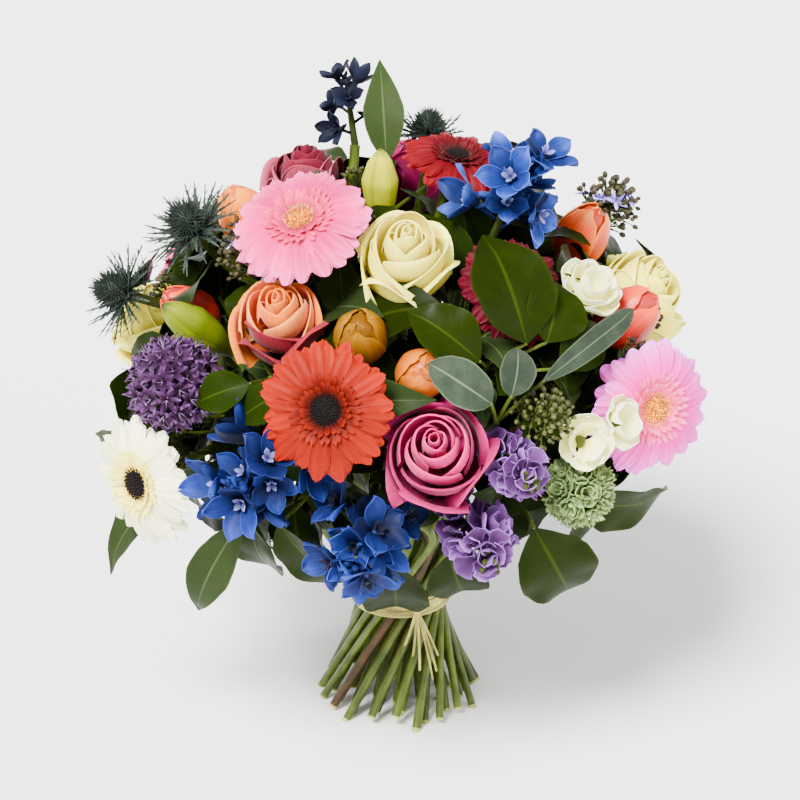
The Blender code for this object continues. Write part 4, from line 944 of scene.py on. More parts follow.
# Each gerbera: the colour of its rays, of its disc and of its anthers, and how wide the disc is in radii.
GERBERA_SKINS = {
    "gerbera_orange": ("orange", "black", "red", 0.23),
    "gerbera_pink": ("pink", "yellow", "cream", 0.18),
    "gerbera_red": ("red", "black", "red", 0.22),
    "gerbera_crimson": ("crimson", "black", "red", 0.22),
    "gerbera_blush": ("blush", "yellow", "cream", 0.20),
    "gerbera_white": ("white", "black", "cream", 0.24),
    "gerbera_back_orange": ("orange", "black", "red", 0.22),
    "gerbera_back_pink": ("pink", "yellow", "cream", 0.20),
}

# The whorls of a gerbera: long rays (height at the root, reach in radii, droop of the tip), short rays
# (count, reach, lift of the tip) and the bracts of its cup (heights at root and tip, reach, count).
RAY_WHORLS = ((0.0022, 0.97, 0.0042), (-0.0004, 1.0, 0.0038))
SHORT_WHORLS = ((30, 0.50, 0.0022), (26, 0.36, 0.0030))
CUP_WHORLS = ((-0.0048, -0.0030, 0.40, 15), (-0.0075, -0.0042, 0.30, 13))
DISC_FLORETS = 110
ANTHERS = 46

# The half width of a ray along its length, as shares of the greatest.
RAY_STEPS = (0.0, 0.15, 0.4, 0.7, 0.88, 1.0)
RAY_WIDTHS = (0.36, 0.56, 0.86, 1.0, 0.88, 0.46)


def ray(turn, start, end, half, low, arch, droop, twist, sway=0.0):
    """A gerbera's ray: grooved, broad near its end, with a blunt tip that has two small notches."""
    def shape(across, up):
        wide = half * np.interp(up, RAY_STEPS, RAY_WIDTHS)
        teeth = 0.5 - 0.5 * np.cos(3.0 * math.pi * across)
        near_tip = smooth_step(up, 0.78, 1.0)
        reach = start + (end - start) * (up - (0.075 * across ** 2 + 0.022 * teeth) * near_tip)
        y = wide * across + sway * up ** 2
        z = low + arch * np.sin(math.pi * up) - droop * up ** 2
        z += half * (0.08 * np.cos(3.0 * math.pi * across) - 0.26 * across ** 2) + twist * wide * across * up
        return turned(reach, y, z, turn)
    return shape


def gerbera(bloom, draw, width, depth):
    """A disc of close-set florets in a ring of short rays, over two whorls of long ones, and a green cup."""
    tint, disc, anthers, disc_share = GERBERA_SKINS[bloom.nodes[0]]
    radius, rays = width / 2.0, sizes().rays
    for whorl, (low, reach, droop) in enumerate(RAY_WHORLS):
        for index in range(rays):
            turn = CIRCLE * (index + 0.5 * whorl + 0.40 * (draw() - 0.5)) / rays
            end = radius * (reach - 0.15 * draw() ** 1.5)
            half = radius * 0.145 * (0.85 + 0.25 * draw())
            drop = droop + 0.0050 * (draw() - 0.5) + 0.0045 * max(0.0, -math.sin(turn))
            shape = ray(turn, 0.17 * radius, end, half, low, 0.0022, drop, 0.70 * (draw() - 0.5),
                        0.07 * radius * (draw() - 0.5))
            bloom.sheet((6, 9), shape, "ray_" + tint, 0.15 + 0.8 * draw())
    for count, reach, lift in SHORT_WHORLS:
        for index in range(count):
            turn = CIRCLE * (index + 0.6 * draw()) / count
            end = radius * (reach + 0.07 * (draw() - 0.5))
            rise = -lift - 0.0016 * draw()
            shape = ray(turn, (disc_share - 0.04) * radius, end, radius * 0.045, 0.0028, 0.0, rise,
                        0.4 * (draw() - 0.5))
            bloom.sheet((2, 4), shape, "inner_" + tint, 0.3 + 0.6 * draw())
    rim, fat = disc_share * radius, disc_share * radius * 0.088
    bloom.stamp("bud", (0, 0, 0.0008), (0, 0, 1), (rim, rim, 0.0030), "disc_" + disc, 0.2)
    for index in range(DISC_FLORETS):
        out = math.sqrt((index + 0.5) / DISC_FLORETS)
        turn = index * GOLDEN_TURN
        top = 0.0034 * math.sqrt(max(0.0, 1.0 - 0.75 * out ** 2)) + 0.0004
        bloom.stamp("bead", spoke(turn, rim * out, top), spoke(turn, 0.4 * out, 1.0), (fat, fat, 1.6 * fat),
                    "disc_" + disc, draw())
    for index in range(ANTHERS):
        turn = CIRCLE * (index + 0.5 * draw()) / ANTHERS
        out = rim * (0.96 + 0.12 * draw())
        bloom.stamp("needle", spoke(turn, out, 0.0028), spoke(turn, 0.7, 1.0),
                    (0.00045, 0.00045, 0.0026 + 0.001 * draw()), "anthers_" + anthers, 0.3 + 0.6 * draw())
    for whorl, (low, high, out, count) in enumerate(CUP_WHORLS):
        for index in range(count):
            turn = CIRCLE * (index + 0.5 * whorl) / count

            def bract(across, up, turn=turn, low=low, high=high, out=out):
                reach = 0.0040 + (out * radius - 0.0040) * up
                wide = 0.0022 * (1.0 - 0.85 * up)
                height = -depth + (depth + low) * np.sin(QUARTER * np.clip(up * 1.5, 0, 1))
                height = height + (high - low) * up
                return round_axis(reach, turn + across * wide / reach, height)
            bloom.sheet((2, 5), bract, "calyx_green", 0.3 + 0.5 * draw())
    bloom.stalk((-depth, -depth + 0.003, -0.005), (0.0036, 0.0042, 0.0090), 10)


# The petals of each rose that isn't cream, from the middle outwards, with the share where each begins.
CREAM = ((0.0, "rose_cream"),)
HOT_PINK = ((0.0, "rose_hot_pink"), (0.72, "rose_hot_pink_outer"))
ROSE_SKINS = {
    "rose_pink": HOT_PINK,
    "rose_back_pink": HOT_PINK,
    "rose_peach": ((0.0, "rose_peach"), (0.55, "rose_peach_outer"), (0.95, "rose_peach")),
    "rose_back_peach": ((0.0, "rose_peach"), (0.55, "rose_peach_outer")),
    "rose_raspberry": ((0.0, "rose_raspberry"), (0.8, "rose_blush_top")),
}

# The whorls of a rose from the middle outwards: petals, how far they stand from the axis in widths, their
# top in depths, half the angle that each goes round, and how far its rim rolls out.
ROSE_WHORLS = ((3, 0.045, 0.000, 2.00, 0.1), (3, 0.095, -0.015, 1.70, 0.2), (3, 0.165, -0.030, 1.55, 0.4),
               (3, 0.250, -0.050, 1.45, 0.9), (3, 0.320, -0.085, 1.35, 1.4), (4, 0.375, -0.150, 1.10, 1.8),
               (5, 0.430, -0.270, 0.84, 2.5))
TALL_WHORLS = ((3, 0.050, 0.000, 2.00, 0.1), (3, 0.110, -0.010, 1.70, 0.2), (3, 0.205, -0.030, 1.55, 0.5),
               (3, 0.300, -0.070, 1.45, 1.1), (3, 0.365, -0.130, 1.30, 1.7), (5, 0.415, -0.240, 0.88, 2.4))
TALL_ROSES = ("rose_cream", "rose_peach", "rose_cream_left", "rose_pink")

# How far a rose's heart leans to the upper side of its face, in widths.
ROSE_LEAN = 0.13


def wound_petal(width, depth, turn, share, stand, spread, top, roll, phase):
    """A rose petal: cupped round the bud, one side under its neighbour, its rounded rim rolled out."""
    root = width * (0.02 + 0.05 * share)
    low = -depth * (0.40 + 0.54 * share)
    curl = width * (0.010 + 0.048 * share ** 1.5)

    def shape(across, up):
        side = np.abs(across)
        peak = top - depth * (0.12 + 0.19 * share) * side ** 2.0
        peak = peak + depth * 0.018 * np.sin(4.0 * across + phase)
        rim = np.clip((up - 0.76) / 0.24, 0.0, 1.0)
        swell = np.sin(QUARTER * np.clip(up / 0.60, 0.0, 1.0)) ** 0.75
        inward = (1.0 - share) * 0.42 * smooth_step(up, 0.50, 1.0)
        radius = root + (stand * (1.0 + 0.13 * across) - root) * swell * (1.0 - inward)
        bend = rim * roll * (0.45 + 0.55 * side ** 1.5) * (1.0 + 0.25 * np.sin(3.0 * across + phase))
        radius = radius + curl * (1.0 - np.cos(bend))
        climb = np.clip(up / 0.76, 0.0, 1.0)
        height = low + (peak - curl - low) * climb + curl * np.sin(bend)
        narrow = spread * (0.50 + 0.50 * np.sin(QUARTER * np.clip(up / 0.50, 0.0, 1.0)))
        narrow = narrow * (1.0 - 0.10 * smooth_step(up, 0.8, 1.0))
        points = round_axis(radius, turn + across * narrow, height)
        heart = 1.0 - np.clip(2.0 * radius / width, 0.0, 1.0) ** 2
        points[:, 1] += ROSE_LEAN * width * heart * np.clip(height / depth + 1.0, 0.0, 1.0)
        return points
    return shape


def rose(bloom, draw, width, depth):
    """Whorls of petals wound round a tight bud, five sepals and a green hip."""
    name = bloom.nodes[0]
    whorls = TALL_WHORLS if name in TALL_ROSES else ROSE_WHORLS
    start = draw() * 6.0
    for number, (count, stand, top, spread, roll) in enumerate(whorls):
        share = number / (len(whorls) - 1)
        skin = [finish for begin, finish in ROSE_SKINS.get(name, CREAM) if share >= begin][-1]
        start += 0.9 + 0.5 * draw()
        for index in range(count):
            turn = start + CIRCLE * (index + 0.22 * (draw() - 0.5)) / count
            out = width * stand * (0.96 + 0.08 * draw())
            high = depth * (top + 0.09 * (draw() - 0.6) * (0.3 + share))
            side = skin
            if name == "rose_peach" and share > 0.6:
                side = "rose_red_outer" if math.sin(turn) < -0.2 else skin
            shape = wound_petal(width, depth, turn, share, out, spread, high, roll * (0.8 + 0.35 * draw()),
                                draw() * 6.0)
            bloom.sheet((12, 14), shape, side, 0.25 + 0.6 * draw())
    for index in range(5):
        turn = start + CIRCLE * index / 5.0

        def sepal(across, up, turn=turn):
            reach = width * (0.06 + 0.30 * np.sin(QUARTER * up))
            height = -depth * (0.93 - 0.10 * up - 0.34 * up ** 2)
            wide = width * 0.055 * (1.0 - up) ** 0.7 + 0.0002
            return round_axis(reach, turn + across * wide / reach, height)
        bloom.sheet((4, 8), sepal, "calyx_green", 0.3 + 0.5 * draw())
    bloom.stalk((-depth, -0.96 * depth, -0.90 * depth, -0.84 * depth),
                (0.0032, 0.058 * width, 0.075 * width, 0.05 * width), 12)


# The cup of a tulip along its height: the radius of its open and closed petals, and how far they spread.
CUP_STEPS = (0.0, 0.10, 0.22, 0.40, 0.55, 0.72, 0.86, 1.0)
CUP_RADII = (0.20, 0.58, 0.84, 1.0, 0.99, 0.87, 0.62, 0.24)
CLOSED_RADII = (0.20, 0.58, 0.84, 1.0, 0.98, 0.80, 0.48, 0.06)
CUP_SPREADS = (0.75, 0.95, 1.0, 1.0, 0.98, 0.92, 0.80, 0.10)


def cup_petal(half, depth, turn, spread, inner, top, flare, radii):
    """A tulip petal: it follows the cup, is creased along its middle and ends in a point."""
    def shape(across, up):
        radius = half * inner * np.interp(up, CUP_STEPS, radii) * (1.0 + 0.035 * across)
        radius = radius + half * (0.05 * (1.0 - np.abs(across)) * up + flare * smooth_step(up, 0.7, 1.0))
        radius = radius + half * 0.02 * np.sin(9.0 * across + turn) * up
        angle = turn + across * spread * np.interp(up, CUP_STEPS, CUP_SPREADS)
        height = -depth + (depth + top) * up ** 0.96
        return round_axis(radius, angle, height)
    return shape


def tulip(bloom, draw, width, depth):
    """Three inner and three outer petals round a closed cup, with their tips a little apart."""
    half = width / 2.0
    skin, start = bloom.nodes[0], draw() * 2.0
    if skin in ("tulip_red", "tulip_back"):
        skin = "tulip_salmon"
    for index in range(6):
        outer = index >= 3
        turn = start + CIRCLE * index / 3.0 + (math.pi / 3.0 if outer else 0.0)
        top = depth * (-0.02 - 0.05 * draw() - (0.03 if outer else 0.0))
        flare = (0.04 if outer else -0.04) + 0.10 * draw()
        shape = cup_petal(half, depth, turn, 1.14, 1.0 if outer else 0.92, top, flare,
                          CUP_RADII if outer else CLOSED_RADII)
        bloom.sheet((10, 14), shape, skin, 0.35 + 0.4 * draw())
    # The body inside the cup takes the petals' colour at a lower tone than any petal: painted shade inside
    # the cup.
    bloom.stamp("bud", (0, 0, -0.48 * depth), (0, 0, 1), (0.80 * half, 0.80 * half, 0.43 * depth),
                skin, 0.2)
    bloom.stalk((-depth, -0.94 * depth), (0.0030, 0.0042), 10)


# The radius of a lily bud along its height, as shares of the greatest.
BUD_STEPS = (0.0, 0.06, 0.30, 0.60, 0.84, 0.95, 1.0)
BUD_RADII = (0.30, 0.36, 0.82, 1.0, 0.66, 0.34, 0.10)


def lily(bloom, draw, width, depth):
    """A long closed bud: three ribbed outer tepals that meet in seams over three inner ones."""
    half = width / 2.0
    skin = "lily_skin" if bloom.nodes[0].endswith("top") else "lily_skin_green"
    for index in range(6):
        outer = index >= 3
        turn = CIRCLE * index / 3.0 + (math.pi / 3.0 if outer else 0.0)

        def tepal(across, up, turn=turn, outer=outer):
            rib = np.exp(-(across / 0.16) ** 2)
            radius = half * np.interp(up, BUD_STEPS, BUD_RADII)
            radius = radius * ((1.0 if outer else 0.93) - 0.06 * across ** 4 + 0.05 * rib)
            spread = 0.98 if outer else 0.7
            return round_axis(radius, turn + across * spread, -depth * (1.0 - up))
        # The inner tepals, which show only in the seams between the outer ones, take a lower tone: painted
        # shade in the seams.
        bloom.sheet((12, 18), tepal, skin, (0.55 if outer else 0.1) + 0.2 * draw())
    bloom.stalk((-depth, -0.95 * depth), (0.0030, 0.0034), 10)


def frill(width, turn, start, reach, low, rise, spread, wave, phase):
    """A ruffled petal that opens from a narrow claw to a broad wavy rim."""
    def shape(across, up):
        radius = width * (start + (reach - start) * np.sin(QUARTER * up) ** 0.9)
        radius = radius * (1.0 - 0.14 * across ** 2 * up)
        ruffle = wave * width * np.sin(across * 6.0 + phase) * up ** 2
        height = width * (low + rise * up ** 1.5) + ruffle
        angle = turn + across * spread * (0.35 + 0.65 * np.sin(QUARTER * up))
        return round_axis(radius, angle, height)
    return shape


# Whorls of ruffled petals: count, reach, height of the claw and rise in widths, and half the angle of each.
CUP_FRILLS = ((5, 0.50, -0.32, 0.24, 0.85), (4, 0.38, -0.32, 0.34, 1.05), (3, 0.22, -0.30, 0.38, 1.3))
PEA_FRILLS = ((5, 0.50, -0.24, 0.22, 0.85), (3, 0.34, -0.24, 0.34, 1.25))


def lisianthus(bloom, draw, width, depth):
    """A small open cup of soft ruffled petals round a bud."""
    for count, reach, low, rise, spread in CUP_FRILLS:
        for index in range(count):
            turn = CIRCLE * (index + 0.3 * draw()) / count + reach * 9.0
            shape = frill(width, turn, 0.06, reach * (0.92 + 0.14 * draw()), low, rise, spread, 0.042,
                          draw() * 6.0)
            bloom.sheet((10, 8), shape, "cup_white", 0.35 + 0.5 * draw())
    bloom.stalk((-depth, -0.5 * width, -0.28 * width), (0.0028, 0.0030, 0.09 * width), 10)


def pea(bloom, draw, width, depth):
    """Two rounded ruffled blooms side by side on one stalk."""
    for side in (-1, 1):
        spot = Vector((side * 0.46 * width, side * 0.07 * width, -0.08 * width))
        place = facing(spot, Vector((side * 0.35, 0.0, 1.0)).normalized())
        for count, reach, low, rise, spread in PEA_FRILLS:
            for index in range(count):
                turn = CIRCLE * (index + 0.3 * draw()) / count + reach * 7.0
                shape = frill(width, turn, 0.05, reach * (0.90 + 0.16 * draw()), low, rise, spread, 0.05,
                              draw() * 6.0)
                bloom.sheet((8, 7), shape, "cup_white", 0.35 + 0.5 * draw(), place)
        foot = above(-0.70 * depth)
        bloom.tube([foot, foot.lerp(spot, 0.5) - above(0.002), spot - above(0.2 * width)],
                   (0.0018, 0.0018, 0.0040), "calyx_green", 8)
    bloom.stalk((-depth, -0.30 * depth), (0.0026, 0.0018))


# A thistle: its spines, and its whorls of bracts (reach and rise in widths, count).
SPINES = 300
BRACT_WHORLS = ((0.78, -0.06, 15), (0.72, 0.16, 14), (0.60, 0.36, 12), (0.58, -0.24, 10))


def thistle(bloom, draw, width, depth):
    """A cone of close-set fine spines over two whorls of long spiny bracts."""
    core = 0.19 * width
    bloom.stamp("bud", (0, 0, 0), (0, 0, 1), (core, core, 1.3 * core), "thistle_spines", 0.3)
    for index in range(SPINES):
        high = 1.0 - 1.5 * (index + 0.5) / SPINES
        flat = math.sqrt(max(0.0, 1.0 - high * high))
        turn = index * GOLDEN_TURN
        way = spoke(turn, flat, high)
        spot = Vector((way.x, way.y, 1.3 * way.z)) * core * 0.92
        long = width * (0.11 + 0.09 * draw())
        lean = way + above(0.25) + Vector((draw() - 0.5, draw() - 0.5, 0)) * 0.4
        bloom.stamp("needle", spot, lean, (0.0006, 0.0006, long), "thistle_spines", 0.2 + 0.8 * draw())
    for number, (reach, lift, leaves) in enumerate(BRACT_WHORLS):
        for index in range(leaves):
            turn = CIRCLE * (index + 0.4 * number + 0.4 * draw()) / leaves
            end = width * reach * (0.84 + 0.16 * draw())
            rise = width * (lift + 0.12 * (draw() - 0.5))

            def bract(across, up, turn=turn, end=end, rise=rise):
                out = 0.12 * width + (end - 0.12 * width) * up
                spiny = 1.0 + 0.55 * np.cos(up * 32.0) * smooth_step(up, 0.15, 0.4)
                wide = width * 0.036 * (1.0 - up) ** 0.8 * spiny + 0.0002
                height = -0.16 * width + rise * up ** 1.3 + 0.3 * wide * np.abs(across)
                return round_axis(out, turn + across * wide / out, height)
            bloom.sheet((2, 14), bract, "thistle_bracts", 0.2 + 0.8 * draw())
            for side in (-1, 1):
                for part in (0.25, 0.42, 0.6, 0.78):
                    out = 0.12 * width + (end - 0.12 * width) * part
                    spot = spoke(turn, out, -0.16 * width + rise * part ** 1.3)
                    way = spoke(turn + side * 0.7, 1.0, 0.3 + 0.4 * draw())
                    bloom.stamp("needle", spot, way, (0.00042, 0.00042, width * (0.10 + 0.05 * draw())),
                                "thistle_spines", 0.5 + 0.5 * draw())
    bloom.stalk((-depth, -0.3 * width, -0.12 * width), (0.0030, 0.0032, 0.0060))


def star(cluster, place, size, petals, skin, draw, cup=0.35, grid=(2, 3)):
    """A small starry floret that looks along the place's +Z, with a few stamens."""
    spin = draw() * 6.0
    for index in range(petals):
        turn = spin + CIRCLE * index / petals

        def ray_of_star(across, up, turn=turn):
            out = size * (0.06 + 0.94 * up)
            wide = size * 0.20 * np.sin(math.pi * np.clip(0.12 + 0.86 * up, 0.0, 1.0))
            return turned(out, wide * across, size * (cup * up ** 0.8 - 0.12 * across ** 2), turn)
        cluster.sheet(grid, ray_of_star, skin, 0.25 + 0.7 * draw(), place)
    for index in range(petals // 2):
        turn = spin + 0.5 + CIRCLE * index / (petals // 2)
        foot = place @ above(0.05 * size)
        way = place.to_3x3() @ spoke(turn, 0.45, 1.0)
        cluster.stamp("needle", foot, way, (0.00022, 0.00022, 0.75 * size), "stamens_pale", 0.6)
        tip = foot + way.normalized() * 0.72 * size
        cluster.stamp("bead", tip, way, (0.00038, 0.00038, 0.0006), "stamens_dark", draw())


def even_points(count, low, high):
    """Unit vectors spread evenly over the part of a ball between two heights."""
    for point in range(count):
        height = high - (high - low) * (point + 0.5) / count
        flat = math.sqrt(max(0.0, 1.0 - height * height))
        yield spoke(point * GOLDEN_TURN, flat, height)


def allium(bloom, draw, width, depth):
    """A ball of close-set starry florets on thin stalks, with long stamens."""
    core = 0.30 * width
    # The core ball that shows between the florets takes their colour at the lowest tone: painted shade
    # between the florets.
    bloom.stamp("bud", (0, 0, 0), (0, 0, 1), (core, core, core), "star_violet", 0.0)
    for way in even_points(sizes().stars, -0.9, 1.0):
        out = width * (0.33 + 0.10 * draw())
        lean = (way + Vector([0.5 * (draw() - 0.5) for _ in range(3)])).normalized()
        place = facing(way * out, lean)
        star(bloom, place, 0.150 * width, 6, "star_violet", draw)
        bloom.stamp("needle", way * core * 0.9, way, (0.0005, 0.0005, out - core * 0.85), "calyx_green", 0.4)
    bloom.stalk((-depth, -0.2 * width), 0.0030)


def floret_places(width, depth, count, reach, tilt):
    """The places of florets round an upright stalk, in a spiral from low to high."""
    for index in range(count):
        share = index / (count - 1)
        height = -depth * 0.80 + share * depth * 0.80
        flat = spoke(index * 2.4) * (1.0 - 0.55 * share ** 3)
        way = (flat + above(tilt + share ** 3)).normalized()
        start = above(min(height - 0.05 * width, -width * 0.45))
        yield flat * reach + above(height + 0.25 * width), way, start


def sepal_of(size, turn, lift, phase):
    """A broad sepal with a rounded point, cupped and a little wavy."""
    def shape(across, up):
        out = size * (0.05 + 0.95 * up - 0.10 * across ** 2 * smooth_step(up, 0.6, 1.0))
        wide = size * np.interp(up, (0.0, 0.2, 0.5, 0.8, 1.0), (0.10, 0.27, 0.40, 0.28, 0.03))
        height = size * (lift * up - 0.30 + 0.30 * up ** 0.7 + 0.10 * across ** 2
                         + 0.04 * np.sin(3.0 * across + 5.0 * up + phase))
        return turned(out, wide * across, height, turn)
    return shape


# The sepals and the eye of each delphinium that isn't bright blue with a pale eye.
DELPHINIUM_SKINS = {"delphinium_left": ("sepal_navy", "bee_pale"),
                    "delphinium_low": ("sepal_navy", "sepal_midnight"),
                    "delphinium_top": ("sepal_midnight", "sepal_midnight")}


def delphinium(bloom, draw, width, depth):
    """A spire of spurred florets with five broad sepals round a small pale eye, and buds at its top."""
    name = bloom.nodes[0]
    skin, eye = DELPHINIUM_SKINS.get(name, ("sepal_blue", "bee_pale"))
    bloom.stalk((-depth, -0.6 * depth, 0.1 * width), (0.0026, 0.0022, 0.0010))
    whole = [(*place, 1.0) for place in floret_places(width, depth, 6, width * 0.62, 0.35)]
    between = [(first[0].lerp(last[0], 0.5) * 0.8 + above(-0.05 * width),
                (first[1] + last[1] + Vector((0.2 * (draw() - 0.5), 0.2, 0.1))).normalized(), first[2], 0.8)
               for first, last in zip(whole, whole[1:] + whole[:1])]
    for spot, way, start, part in whole + (between if name != "delphinium_top" else []):
        lean = Vector([0.35 * (draw() - 0.5) for _ in range(3)])
        place = facing(spot, (way + lean).normalized())
        size = 0.54 * width * part
        spin = draw() * 6.0
        cup = 0.75 * draw() ** 1.5
        for index in range(5):
            shape = sepal_of(size * (0.88 + 0.16 * draw()),
                             spin + CIRCLE * (index + 0.25 * draw()) / 5.0,
                             cup + 0.36 * draw() - 0.08, draw() * 6.0)
            bloom.sheet((6, 7), shape, skin, draw(), place)
        for index in range(4):
            shape = sepal_of(size * 0.24, spin + 0.4 + math.pi * index / 2.0, 0.9, draw() * 6.0)
            bloom.sheet((3, 4), shape, eye, 0.3 + 0.5 * draw(), place)
        back = spot - way * 0.20 * width * part
        spur = back - way * 0.25 * width + above(0.20 * width)
        bloom.tube([start, back.lerp(start, 0.3), back, spot - way * 0.12 * width * part],
                   (0.0011, 0.0010, 0.0016, 0.0024), skin, 6, 0.4)
        bloom.tube([back, back.lerp(spur, 0.6), spur], (0.0020, 0.0013, 0.0005), skin, 6, 0.5)
    for index in range(5):
        turn = index * GOLDEN_TURN
        high = width * (0.10 + 0.05 * index)
        way = spoke(turn, 1.0 - 0.15 * index, 1.2)
        spot = way.normalized() * width * 0.16 + above(high - 0.2 * width)
        fat = width * (0.085 - 0.008 * index)
        bloom.stamp("bud", spot, way, (fat, fat, 1.7 * fat), skin, 0.4 + 0.4 * draw())


# Whorls of a double floret: count, reach and rise in widths.
STOCK_FRILLS = ((5, 0.68, 0.12), (3, 0.42, 0.30), (2, 0.22, 0.36))
SNOW_FRILLS = ((5, 0.52, 0.26), (5, 0.36, 0.36), (3, 0.20, 0.42))


def double_floret(cluster, place, width, skin, draw, whorls):
    """A small double floret: whorls of ruffled petals that close towards the middle."""
    for count, reach, rise in whorls:
        for index in range(count):
            turn = CIRCLE * (index + 0.35 * draw()) / count + reach * 11.0
            shape = frill(width, turn, 0.04, reach * (0.86 + 0.22 * draw()), -0.26,
                          rise + 0.16 * (draw() - 0.5), 2.8 / count, 0.055, draw() * 6.0)
            cluster.sheet((6, 5), shape, skin, draw(), place)


def stock(bloom, draw, width, depth):
    """A spire of double ruffled florets, with small buds at its top."""
    bloom.stalk((-depth, 0), (0.0026, 0.0016))
    for spot, way, start in floret_places(width, depth, 7, width * 0.60, 0.25):
        double_floret(bloom, facing(spot, way), width, "floret_mauve", draw, STOCK_FRILLS)
        bloom.tube([start, spot - way * 0.2 * width], (0.0011, 0.0020), "calyx_green", 6)
    for index in range(6):
        turn = index * GOLDEN_TURN
        way = spoke(turn, 1.0, 1.3)
        spot = way.normalized() * width * 0.26 + above(width * 0.02 * index)
        bloom.stamp("bud", spot, way, (0.0018, 0.0018, 0.0032), "calyx_green", draw())


def snowball(bloom, draw, width, depth):
    """A loose round head of frilly pale green florets."""
    middle = above(-0.5 * width)
    for way in even_points(15, -0.35, 0.98):
        spot = middle + way * width * 0.78
        double_floret(bloom, facing(spot, way), 0.80 * width, "floret_jade", draw, SNOW_FRILLS)
        bloom.tube([middle - above(0.4 * width), middle + way * 0.3 * width, spot - way * 0.15 * width],
                   (0.0008, 0.0009, 0.0014), "calyx_green", 5)
    bloom.stalk((-depth, -0.9 * width), (0.0026, 0.0024))


# The twigs of a spray, and the buds on each.
TWIGS = 15
TWIG_BUDS = 9


def sprig(bloom, draw, width, depth):
    """A fine spray of forked twigs that end in small buds, with a few narrow leaves."""
    skin = "buds_" + bloom.slot
    bloom.stalk((-depth, -0.5 * depth, -width), (0.0024, 0.0016, 0.0008))
    for index in range(TWIGS):
        share = index / (TWIGS - 1)
        angle = index * GOLDEN_TURN
        root = above(-depth * (0.75 - 0.55 * share))
        out = depth * (0.38 - 0.22 * share) * (1.0 if index % 2 else 0.72)
        reach = spoke(angle, out, depth * (0.26 + 0.08 * draw()))
        bloom.tube([root, root + reach * 0.5 - above(0.001), root + reach], (0.0011, 0.0009, 0.0006),
                   "calyx_green", 5)
        for bud in range(TWIG_BUDS):
            off = bud / (TWIG_BUDS - 1)
            spread = width * (0.25 + 0.95 * off ** 0.5)
            tip = root + reach + spoke(bud * GOLDEN_TURN, spread, width * (0.9 - 0.9 * off))
            foot = root + reach * 0.86
            bloom.tube([foot, tip], (0.0005, 0.0004), "calyx_green", 3)
            fat = width * (0.17 + 0.08 * draw())
            bloom.stamp("bud" if bud % 3 == 0 else "bead", tip, tip - foot, (fat, fat, 1.35 * fat), skin,
                        0.2 + 0.8 * draw())
        if bloom.slot == "wax" and index % 3 == 0:
            way = (reach + Vector((0.3 * reach.x, 0.3 * reach.y, 0.0))).normalized()
            star(bloom, facing(root + reach * 1.12, way), 0.95 * width, 5, "petal_lilac", draw, 0.25, (4, 4))
        turn = angle + 1.3

        def leaflet(across, up, turn=turn):
            out = 0.016 * up
            side = 0.0018 * np.sin(math.pi * np.clip(0.1 + 0.88 * up, 0, 1)) * across
            return turned(out, side, 0.6 * out + 0.2 * np.abs(side), turn)
        bloom.sheet((2, 5), leaflet, "laurel_skin", 0.3 + 0.6 * draw(), Matrix.Translation(root))


# Leaves, and the leaves and buds that fill the gaps between the blooms.


def leaf(cluster, start, knee, tip, width, outward, kind, tone, draw, grid=(8, 16)):
    """A blade on its stalk: the stalk runs from start to knee, and the blade bows from there to its tip."""
    long = (tip - knee).length
    way = (tip - knee) / long
    side = way.cross(outward.normalized()).normalized()
    up_way = side.cross(way)
    phase, sway = draw() * 6.0, 0.05 * (draw() - 0.5)
    knee_a, way_a, side_a, up_a = (np.array(part) for part in (knee, way, side, up_way))

    def shape(across, up):
        half = width / 2.0 * np.interp(up, BLADE_STEPS, BLADES[kind])
        edge = np.abs(across)
        rise = np.sin(math.pi * up) * long * 0.10 + edge ** 1.3 * half * 0.22
        rise = rise + half * 0.07 * edge ** 2 * np.sin(up * 15.0 + phase + across)
        rise = rise - 0.05 * long * smooth_step(up, 0.75, 1.0) * up
        swing = sway * long * np.sin(math.pi * up)
        return (knee_a + np.outer(long * up, way_a) + np.outer(across * half + swing, side_a)
                + np.outer(rise, up_a))

    cluster.sheet(grid, shape, kind + "_skin", tone)
    bend = start.lerp(knee, 0.55) + up_way * 0.001
    into = knee + way * long * 0.06
    cluster.tube([start, bend, knee, into], (0.0012, 0.0011, 0.0010, 0.0006), "stem_skin", 6, 0.4)


def branch(row):
    """A short woody twig with its leaves."""
    name, kind, leaves = row[0], row[1], row[-1]
    draw = random.Random(name).random
    end, axis, foot = branch_place(row)
    bough = Cluster(name + "_branch", kind, (name,), None, sizes().leaf)
    bough.tube([foot, foot.lerp(end, 0.5), end], (TWIG_RADIUS * 1.3, TWIG_RADIUS, TWIG_RADIUS * 0.8),
               "stem_skin", 8, 0.4)
    for index, (turn_a, fall_a, lift_a, turn_b, fall_b, lift_b, width) in enumerate(leaves):
        knee, out_a = on_dome(turn_a, fall_a, lift_a)
        tip, out_b = on_dome(turn_b, fall_b, lift_b)
        start = end - axis * (0.0015 + 0.005 * index)
        leaf(bough, start, knee, tip, width, out_a + out_b, kind, 0.3 + 0.5 * draw(), draw)
    return bough.finished()


def clear_of(balls, points, room):
    """Whether all the points stay that far outside the balls that fill the blooms."""
    for point in points:
        if (np.linalg.norm(balls[:, :3] - np.array(point), axis=1) < balls[:, 3] + room).any():
            return False
    return True


# The kinds of the filler leaves, a piece for each, and how often a place for one is tried.
FILLER_KINDS = ("salal", "laurel", "ruscus", "laurel")
FILLER_TRIES = 24000

# The shares of the filler leaves after which the collar and the leaves behind the blooms begin.
COLLAR_FROM, BACKING_FROM = 0.44, 0.60

# The last filler leaves close gaps that the floor would show through: turn, fall and lift.
GAP_LEAVES = ((24.0, 103.0, -0.032), (31.0, 106.0, -0.032), (19.0, 106.0, -0.034))


